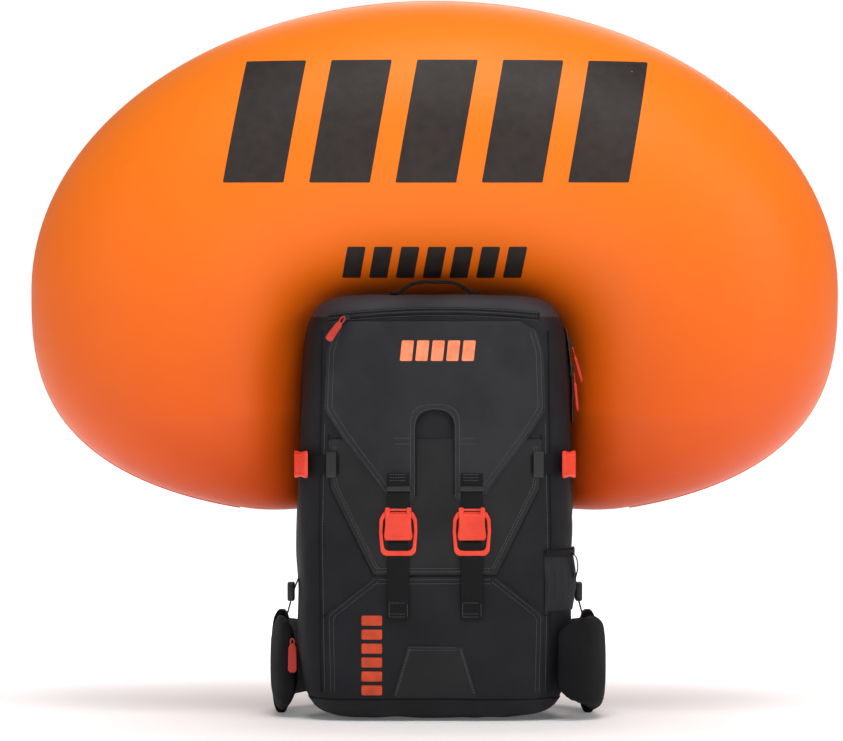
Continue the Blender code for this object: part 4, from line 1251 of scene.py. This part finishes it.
net = stretch_net()
low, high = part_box("mesh_pocket")
bm = bmesh.new()
bmesh.ops.create_grid(bm, x_segments=46, y_segments=40, size=1)
for vert in bm.verts:
    turn = 56 + 42 * (vert.co.x + 1) / 2
    share = (vert.co.y + 1) / 2
    height = low.z + (high.z - low.z) * share
    spot = around_bag(1, turn, turn, height, 0.0, 1)[0]
    fold = 0.0016 * math.sin(
        turn * 1.9 + 2.5 * noise.noise(Vector((turn * 0.15, share * 3, 0)))
    ) * math.sin(math.pi * share)
    belly = 0.0045 * math.sin(math.pi * min(1, share * 1.05)) * math.sin(math.pi * (vert.co.x + 1) / 2) ** 0.5
    inward = (Vector((0, MID_Y, height)) - spot).normalized()
    vert.co = spot - inward * (0.0016 + belly + fold * 0.7)
bmesh.ops.recalc_face_normals(bm, faces=bm.faces)
if sum(face.normal.x * face.calc_area() for face in bm.faces) < 0:
    bmesh.ops.reverse_faces(bm, faces=bm.faces)
pocket = finish_piece("gathered_pocket", bm, net, "pack", ("mesh_pocket",), 0)
give_thickness(pocket, 0.0012, 0.0003, 0.0)
pocket_top = around_bag(1, 56, 98, high.z - 0.001, 0.0032, 24)
web_strap("pocket_binding", pocket_top, width=0.009, thickness=0.0030, across=(0, 0, 1))
loop = [(0.1860, -0.095, 0.229), (0.1935, -0.098, 0.222), (0.1955, -0.099, 0.208), (0.1925, -0.098, 0.194)]
web_strap("pocket_loop", smooth_path(loop, 6), width=0.010, thickness=0.0016, across=(0, 1, 0))


# ------------------------------------------------------------ hip belt

INFLATE_FRAMES = 20
PAD_CAP, LUMBAR_CAP = 0.004, 0.003


def inflate(obj, cap):
    """Fills a closed pad with air by cloth simulation, and lets no point move further than cap."""
    material = obj.data.materials[0]
    remesh = add_modifier(obj, "REMESH", mode="VOXEL", voxel_size=0.0055)
    bpy.context.view_layer.update()
    graph = bpy.context.evaluated_depsgraph_get()
    obj.data = bpy.data.meshes.new_from_object(obj.evaluated_get(graph))
    obj.modifiers.remove(remesh)
    rest = [vert.co.copy() for vert in obj.data.vertices]
    cloth = obj.modifiers.new("Cloth", "CLOTH")
    cloth.settings.use_pressure = True
    cloth.settings.uniform_pressure_force = 4
    cloth.settings.effector_weights.gravity = 0
    scene = bpy.context.scene
    for number in range(1, INFLATE_FRAMES + 1):
        scene.frame_set(number)
    graph = bpy.context.evaluated_depsgraph_get()
    blown = bpy.data.meshes.new_from_object(obj.evaluated_get(graph))
    obj.modifiers.remove(cloth)
    scene.frame_set(1)
    for vert, home in zip(blown.vertices, rest):
        move = vert.co - home
        if move.length > cap:
            vert.co = home + move.normalized() * cap
    blown.materials.clear()
    blown.materials.append(material)
    obj.data = blown
    obj.data.shade_smooth()
    add_modifier(obj, "SMOOTH", factor=0.5, iterations=3)
    add_modifier(obj, "SUBSURF", levels=1, render_levels=1)


HINGE_X = 0.2145
PAD_LOW, PAD_HIGH = 0.0012, 0.1425
PAD_MIDDLE, PAD_HEIGHT = (PAD_LOW + PAD_HIGH) / 2, PAD_HIGH - PAD_LOW
for side, sign in SIDES:
    if side == "left":
        route = [(0.1935, -0.0740), (0.2010, -0.0600), (0.2080, -0.0350), (0.2125, 0.0000)]
    else:
        # The pocketed wing on this side flares forward round the bag's corner
        route = [
            (0.1640, -0.1330), (0.1800, -0.1290), (0.2030, -0.1080), (0.2190, -0.0700), (0.2190, -0.0200)
        ]
    route += [(0.2140, 0.0250), (HINGE_X, 0.0440)]
    lifts = [0.012 * max(0.0, (-0.02 - y) / 0.11) for _, y in route]
    path = smooth_path([(sign * x, y, PAD_MIDDLE + lift) for (x, y), lift in zip(route, lifts)], 6)

    def lobe(share):
        """Fuller towards the back, and turned in to a rounded front edge."""
        nose = math.sin(min(1.0, share / 0.30) * math.pi / 2) ** 0.6
        rise = math.sin(min(1.0, share / 0.55) * math.pi / 2) ** 0.8
        return section(PAD_HEIGHT * (0.56 + 0.42 * rise), max(0.004, 0.0235 * nose), 2.3, 40)

    bm = strap(path, lobe, (0, 0, 1))
    made = finish_piece(
        f"hip_side_pad_{side}", bm, pad_cloth, "pack", (f"hip_stabilizer_{side}",), 60
    )
    inflate(made, PAD_CAP)

    body = f"hip_belt_{side}"
    route = [
        (HINGE_X, 0.0465), (HINGE_X, 0.075), (0.211, 0.110), (0.200, 0.150), (0.178, 0.195), (0.150, 0.230),
        (0.1215, 0.2540)
    ]
    middles = [0.0713, 0.0713, 0.0710, 0.0700, 0.0675, 0.0650, 0.0630]
    path = smooth_path([(sign * x, y, z) for (x, y), z in zip(route, middles)], 6)

    def wing(share):
        end = math.sin(min(1.0, (1 - share) / 0.10) * math.pi / 2) ** 0.5 if share > 0.9 else 1.0
        height = PAD_HEIGHT * 0.98 + (0.074 - PAD_HEIGHT) * share**1.6
        return section(height * (0.75 + 0.25 * end), max(0.003, (0.0240 - 0.0145 * share) * end), 3.0, 40)

    bm = strap(path, wing, (0, 0, 1))
    made = finish_piece(
        f"hip_wing_pad_{side}", bm, pad_cloth, body, (f"hip_wing_{side}",), 60
    )
    inflate(made, PAD_CAP)
    wing_tree = tree_of(made)
    cover = [(sign * HINGE_X, 0.030 + 0.0345 * i / 16, 0.0713) for i in range(17)]
    bm = strap(cover, section(0.1440, 0.0268, 3.0, 40), (0, 0, 1))
    made = finish_piece(f"hip_hinge_sleeve_{side}", bm, pad_cloth, None, (), 60)
    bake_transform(made)

    # Piping round the pads, and the webbing that runs to the waist buckle
    edge = []
    for top in (-1, 1):
        chain = [
            p + Vector((sign * 0.0004, 0, top * wing(i / (len(path) - 1))[0][0] * 0.985)) for i,
            p in enumerate(path[1:-4], 1)
        ]
        edge.append([wing_tree.find_nearest(point)[0] for point in chain])
    bm = bmesh.new()
    for chain in edge:
        join(bm, strap(chain, section(0.0045, 0.0045, 2.0, 8), (sign, 0, 0)))
    finish_piece(f"hip_wing_piping_{side}", bm, binding_tape, body, smooth=60)
    web = [
        (0.1330, 0.2450, 0.0625), (0.1235, 0.2540, 0.0622), (0.112, 0.2620, 0.0620), (0.100, 0.270, 0.062),
        (0.072, 0.281, 0.056), (0.046, 0.284, 0.050)
    ]
    web_path = smooth_path([(sign * x, y, z) for x, y, z in web], 6)
    web_strap(f"hip_strap_{side}", web_path, body, 0.0295, 0.0022, (0, 0, 1), (f"hip_web_{side}",))
    near, far = sorted((sign * 0.0075, sign * 0.0500))
    bm = rounded_box((near, 0.2785, 0.0275), (far, 0.2895, 0.0725), 0.0035, 4)
    for z in (0.0345, 0.0500, 0.0655):
        join(bm, rounded_box((near + 0.004, 0.2888, z - 0.0022), (far - 0.004, 0.2903, z + 0.0022), 0.0007))
    finish_piece(f"waist_buckle_{side}", bm, black_acetal, body, smooth=50)
    # Ladder lock between the side pad and the bag, with its own short web
    x = sign * 0.2035
    short = [(sign * 0.1865, -0.0550, 0.1950), (sign * 0.1945, -0.0480, 0.1750), (x, -0.0400, 0.1430)]
    web_strap(
        f"stabilizer_strap_{side}", smooth_path(short, 6), width=0.020, thickness=0.0022, across=(0, 1, 0)
    )
    bm = rounded_box(
        (min(x, x - sign * 0.010), -0.0575, 0.1600), (max(x, x - sign * 0.010), -0.0325, 0.1860), 0.0025
    )
    finish_piece(f"stabilizer_lock_{side}", bm, black_acetal, "pack", smooth=50)


# --------------------------------------------------- back and shoulders

back_low, back_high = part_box("back_panel")
sheet_low, sheet_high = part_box("frame_sheet")
outline = rounded(
    mirrored(
        [
            (0.132, sheet_high.z, 0.030), (sheet_high.x, 0.44, 0.060),
            (sheet_high.x, sheet_low.z + 0.001, 0.012)
        ]
    ), 8
)
bm = prism(outline, sheet_low.y, sheet_high.y, 0.0009)
finish_piece("back_cloth_panel", bm, side_cloth, "pack", ("frame_sheet",), 50)
rows = []
edge = rounded(mirrored([(0.126, sheet_high.z - 0.008, 0.026), (0.144, 0.43, 0.06), (0.144, 0.014, 0.01)]), 8)
line = [Vector((x, sheet_high.y + 0.0003, z)) for x, z in edge]
stitches("back_stitching", [line + line[:1]], out=(0, 1, 0))

back_middle = (back_low + back_high) / 2
back_half = (back_high - back_low) / 2
bm = bmesh.new()
bmesh.ops.create_cube(bm, size=2)
bmesh.ops.subdivide_edges(bm, edges=bm.edges[:], cuts=58, use_grid_fill=True)
for vert in bm.verts:
    x, y, z = vert.co
    shrink = 1 - 0.10 * abs(z) ** 6
    edge = max(0.0, 1 - max(abs(x), abs(z)) ** 14) ** 0.5
    height = back_middle.z + z * back_half.z * 0.995
    across = x * back_half.x * 0.995 * shrink
    centre_channel = math.exp(-((across / 0.016) ** 2))
    cross_channel = sum(math.exp(-(((height - level) / 0.007) ** 2)) for level in (0.17, 0.255, 0.34, 0.425))
    depth = 0.30 + 0.70 * edge
    groove = min(1.0, 0.62 * centre_channel + 0.34 * cross_channel)
    y_place = back_low.y + 0.0003 if y < 0 else back_low.y + (
        back_half.y * 2 - 0.0004
    ) * depth * (1 - 0.55 * groove)
    if abs(y) < 1:
        y_place = back_low.y + (back_half.y * 2) * depth * 0.5 * (y + 1) * 0.98 + 0.0003
    vert.co = (across, y_place, height)
bmesh.ops.recalc_face_normals(bm, faces=bm.faces)
back_pad = finish_piece("back_pad", bm, air_mesh, "pack", ("back_panel",), 0)

low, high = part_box("lumbar_pad")
bm = bmesh.new()
bmesh.ops.create_cube(bm, size=2)
bmesh.ops.subdivide_edges(bm, edges=bm.edges[:], cuts=30, use_grid_fill=True)
middle, half = (low + high) / 2, (high - low) / 2
for vert in bm.verts:
    x, y, z = vert.co
    size = (abs(x) ** 5 + abs(z) ** 5) ** 0.2
    scale = max(abs(x), abs(z)) / size if size else 1
    x, z = x * scale, z * scale
    crown = max(0.0, 1 - (abs(x) ** 5 + abs(z) ** 5)) ** 0.42
    y = -1 + (y + 1) * (0.16 + 0.80 * crown)
    vert.co = (middle.x + x * half.x * 0.985, middle.y + y * half.y, middle.z + z * half.z * 0.985)
bmesh.ops.recalc_face_normals(bm, faces=bm.faces)
lumbar = finish_piece("lumbar_cushion", bm, air_mesh, "pack", ("lumbar_pad",), 0)
inflate(lumbar, LUMBAR_CAP)

FIRST_Y = back_high.y + 0.0080
STRAP_ROUTE = [
    (0.050, FIRST_Y, 0.4255),
    (0.052, FIRST_Y, 0.460),
    (0.055, FIRST_Y + 0.011, 0.492),
    (0.062, FIRST_Y + 0.035, 0.505),
    (0.072, 0.172, 0.492),
    (0.081, 0.187, 0.460),
    (0.085, 0.192, 0.420),
    (0.085, 0.192, 0.340),
    (0.085, 0.192, 0.260),
    (0.090, 0.184, 0.225),
    (0.097, 0.165, 0.190),
]
for side, sign in SIDES:
    path = smooth_path([(sign * x, y, z) for x, y, z in STRAP_ROUTE], 7)

    def pad_shape(share):
        end = min(1.0, 0.55 + share / 0.08, 0.50 + (1 - share) / 0.12)
        return section(0.0595 * (0.82 + 0.18 * end), 0.0138 * end, 3.2, 28)

    bm = strap(path, pad_shape, (1, 0, 0))
    made = finish_piece(
        f"shoulder_pad_{side}", bm, pad_cloth, "pack", (f"shoulder_strap_{side}",), 60
    )
    bm = bmesh.new()
    for edge in (-1, 1):
        chain = [point + Vector((edge * 0.0285, 0, 0)) for point in path[6:-6]]
        join(bm, strap(chain, section(0.0040, 0.0040, 2.0, 8), (1, 0, 0)))
    finish_piece(f"shoulder_piping_{side}", bm, binding_tape, "pack", smooth=60)
    bottom, anchor = Vector((sign * 0.097, 0.165, 0.190)), Vector((sign * 0.118, 0.1115, 0.098))
    web = [
        bottom + Vector((0, 0, 0.012)), bottom, bottom.lerp(anchor, 0.5), anchor,
        (sign * 0.1185, 0.1060, 0.085), (sign * 0.1185, 0.1055, 0.0635)
    ]
    web_strap(
        f"adjuster_web_{side}", smooth_path(web, 7), width=0.0215, thickness=0.0020,
        replaced=(f"strap_web_{side}",)
    )
    lock = [bottom + Vector((0, 0.0025, 0.004)), bottom.lerp(anchor, 0.16) + Vector((0, 0.0025, 0))]
    bm = strap([lock[0].lerp(lock[1], i / 6) for i in range(7)], section(0.031, 0.0060, 5.0, 20), (1, 0, 0))
    finish_piece(f"ladder_lock_{side}", bm, black_acetal, "pack", smooth=50)


# ------------------------------------------------ sternum strap, release

for side, sign in SIDES:
    body = f"sternum_{side}"
    low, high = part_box(f"sternum_strap_{side}")
    y, z = low.y + 0.0022, (low.z + high.z) / 2
    far = high.x if sign > 0 else low.x
    near = low.x if sign > 0 else high.x
    meet = near + sign * 0.018
    path = [
        (far - sign * 0.001, y, z), (sign * 0.085, y + 0.0003, z), (sign * 0.055, y + 0.0008, z),
        (meet, y + 0.0008, z)
    ]
    web_strap(
        f"sternum_web_{side}", smooth_path(path, 8), body, 0.0195, 0.0020, (0, 0, 1),
        (f"sternum_strap_{side}",)
    )
    x_low, x_high = sorted((near + sign * 0.0003, near + sign * 0.026))
    bm = rounded_box(
        (x_low, low.y + 0.0006, low.z + 0.001), (x_high, high.y - 0.0004, high.z - 0.001), 0.0028, 4
    )
    for level in (-0.007, 0.0, 0.007):
        rib = (
            x_low + 0.004, high.y - 0.0012, z + level - 0.0012
        ), (x_high - 0.004, high.y, z + level + 0.0012)
        join(bm, rounded_box(*rib, 0.0005))
    finish_piece(f"sternum_clip_{side}", bm, black_acetal, body, smooth=50)
    x = sign * 0.085
    bm = rounded_box(
        (x - 0.017, low.y + 0.0002, low.z + 0.0005), (x + 0.017, low.y + 0.0048, high.z - 0.0005), 0.0018, 3
    )
    finish_piece(f"sternum_slider_{side}", bm, black_acetal, body, smooth=50)

low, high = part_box("trigger_base")
bm = rounded_box(low + Vector((0.0005, 0.0002, 0.0005)), high - Vector((0.0005, 0.0003, 0.0005)), 0.0030, 4)
finish_piece("release_holster", bm, black_acetal, "pack", ("trigger_base",), 50)
low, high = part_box("trigger_handle")
middle, half = (low + high) / 2, (high - low) / 2
spine = [(middle.x, middle.y, low.z + 0.001 + (high.z - low.z - 0.002) * i / 30) for i in range(31)]


def grip(share):
    """A T-shaped pull: a full rounded grip at its foot and a slim shank that clips into the holster."""
    foot = math.exp(-(((share - 0.16) / 0.17) ** 2))
    tip = math.sin(min(1.0, share / 0.07) * math.pi / 2) ** 0.5
    ridge = 0.94 if 0.10 < share < 0.40 and int(share * 30) % 3 == 0 else 1.0
    width = (0.0135 + 0.0138 * foot) * (0.45 + 0.55 * tip)
    return section(width, (0.0085 + 0.0040 * foot) * ridge * (0.5 + 0.5 * tip), 3.0, 24)


finish_piece(
    "release_grip", strap(spine, grip, (1, 0, 0)), red_acetal, "trigger", ("trigger_handle",),
    50
)


# --------------------------------------------------------- inner parts

INNER = {
    "airbag_neck": black_rubber,
    "check_valve": black_rubber,
    "neck_clamp": zip_metal,
    "blower_housing_front": nylon_board,
    "blower_housing_rear": nylon_board,
    "impeller": nylon_board,
    "divider_panel": side_cloth,
    "electronics_tray": nylon_board,
    "control_box": nylon_board,
    "trigger_cable": black_rubber,
}
steel, tree, shader = new_material("zinc plated steel can", Metallic=1.0, Roughness=0.32)
where = add_node(tree, "ShaderNodeTexCoord").outputs["Object"]
brushed = add_node(tree, "ShaderNodeMapping", {"Vector": where, "Scale": (1, 40, 1)}).outputs[0]
streaks = noise_map(tree, brushed, 200.0)
tree.links.new(ramp(tree, streaks, 0.3, 0.7, "8d9094", "b4b6ba"), shader.inputs["Base Color"])
bump(tree, shader, streaks, 0.02 * MM)
INNER["motor"] = steel
mask, tree, shader = new_material("solder mask on glass laminate", Roughness=0.35)
where = add_node(tree, "ShaderNodeTexCoord").outputs["Object"]
inputs = {
    "Vector": where, "Scale": 160.0, "Mortar Size": 0.03, "Color1": colour("0e4a22"),
    "Color2": colour("125a2b")
}
tracks = add_node(tree, "ShaderNodeTexBrick", {**inputs, "Mortar": colour("2f7a45")})
tree.links.new(tracks.outputs["Color"], shader.inputs["Base Color"])
bump(tree, shader, tracks.outputs["Fac"], 0.05 * MM)
INNER["circuit_board"] = mask
sleeve = moulded("heat-shrink sleeve", "0d1a3a", "16264d", 0.3)
INNER["supercapacitor_left"] = INNER["supercapacitor_right"] = sleeve
for node, material in INNER.items():
    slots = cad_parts[node].data.materials
    slots.clear()
    slots.append(material)


# --------------------------------------------------------------- prints


def print_material(name, dark, light, roughness):
    """Screen-printed ink on cloth: flat and a little rubbed, with the weave pressing through."""
    made, tree, shader = new_material(name, Specular_IOR_Level=0.35)
    where = add_node(tree, "ShaderNodeTexCoord").outputs["Object"]
    tree.links.new(
        ramp(tree, noise_map(tree, where, 70.0, 5.0), 0.3, 0.7, dark, light), shader.inputs["Base Color"]
    )
    tree.links.new(
        maths(
            tree, "MULTIPLY_ADD", noise_map(tree, where, 22.0), 0.16, roughness - 0.08
        ), shader.inputs["Roughness"]
    )
    bump(tree, shader, weave_height(tree, where, 0.9 * MM), 0.05 * MM, 0.6)
    return made


black_ink = print_material("black screen ink", "1d1613", "2b211d", 0.55)
peach_ink = print_material("peach screen ink", "f0764d", "ff936b", 0.5)
ember_ink = print_material("red screen ink", "b23a1c", "d64a24", 0.5)


def bars(name, tree, shapes, material, lift, cell=0.01):
    """Plain slanted bars printed on the front of a surface: (left, right, bottom, top, lean) of each."""
    bm = bmesh.new()
    for left, right, bottom, top, lean in shapes:
        corners = [
            (left, bottom, 0.002), (right, bottom, 0.002), (right + lean, top, 0.002),
            (left + lean, top, 0.002)
        ]
        join(bm, sheet_from(rounded(corners, 3), cell))
    drape(bm, tree, lift)
    face_front(bm)
    return finish_piece(name, bm, material, "pack", smooth=0)


airbag_tree = tree_of(airbag_skin)
large = [(-0.290 + 0.118 * i, -0.290 + 0.118 * i + 0.083, 0.735, 0.905, 0.030) for i in range(5)]
small = [(-0.128 + 0.037 * i, -0.128 + 0.037 * i + 0.025, 0.606, 0.648, 0.008) for i in range(7)]
bars("airbag_bars", airbag_tree, large, black_ink, 0.0004)
bars("airbag_small_bars", airbag_tree, small, black_ink, 0.0004)
yoke_marks = [(-0.048 + 0.021 * i, -0.048 + 0.021 * i + 0.0165, 0.491, 0.519, 0.003) for i in range(5)]
bars("flap_bars", flap_tree, yoke_marks, peach_ink, 0.0003, 0.004)
side_marks = [(-0.100, -0.072, 0.036 + 0.019 * i, 0.036 + 0.019 * i + 0.0135, 0.0) for i in range(6)]
bars("lower_bars", lower_tree, side_marks, ember_ink, 0.0003, 0.004)
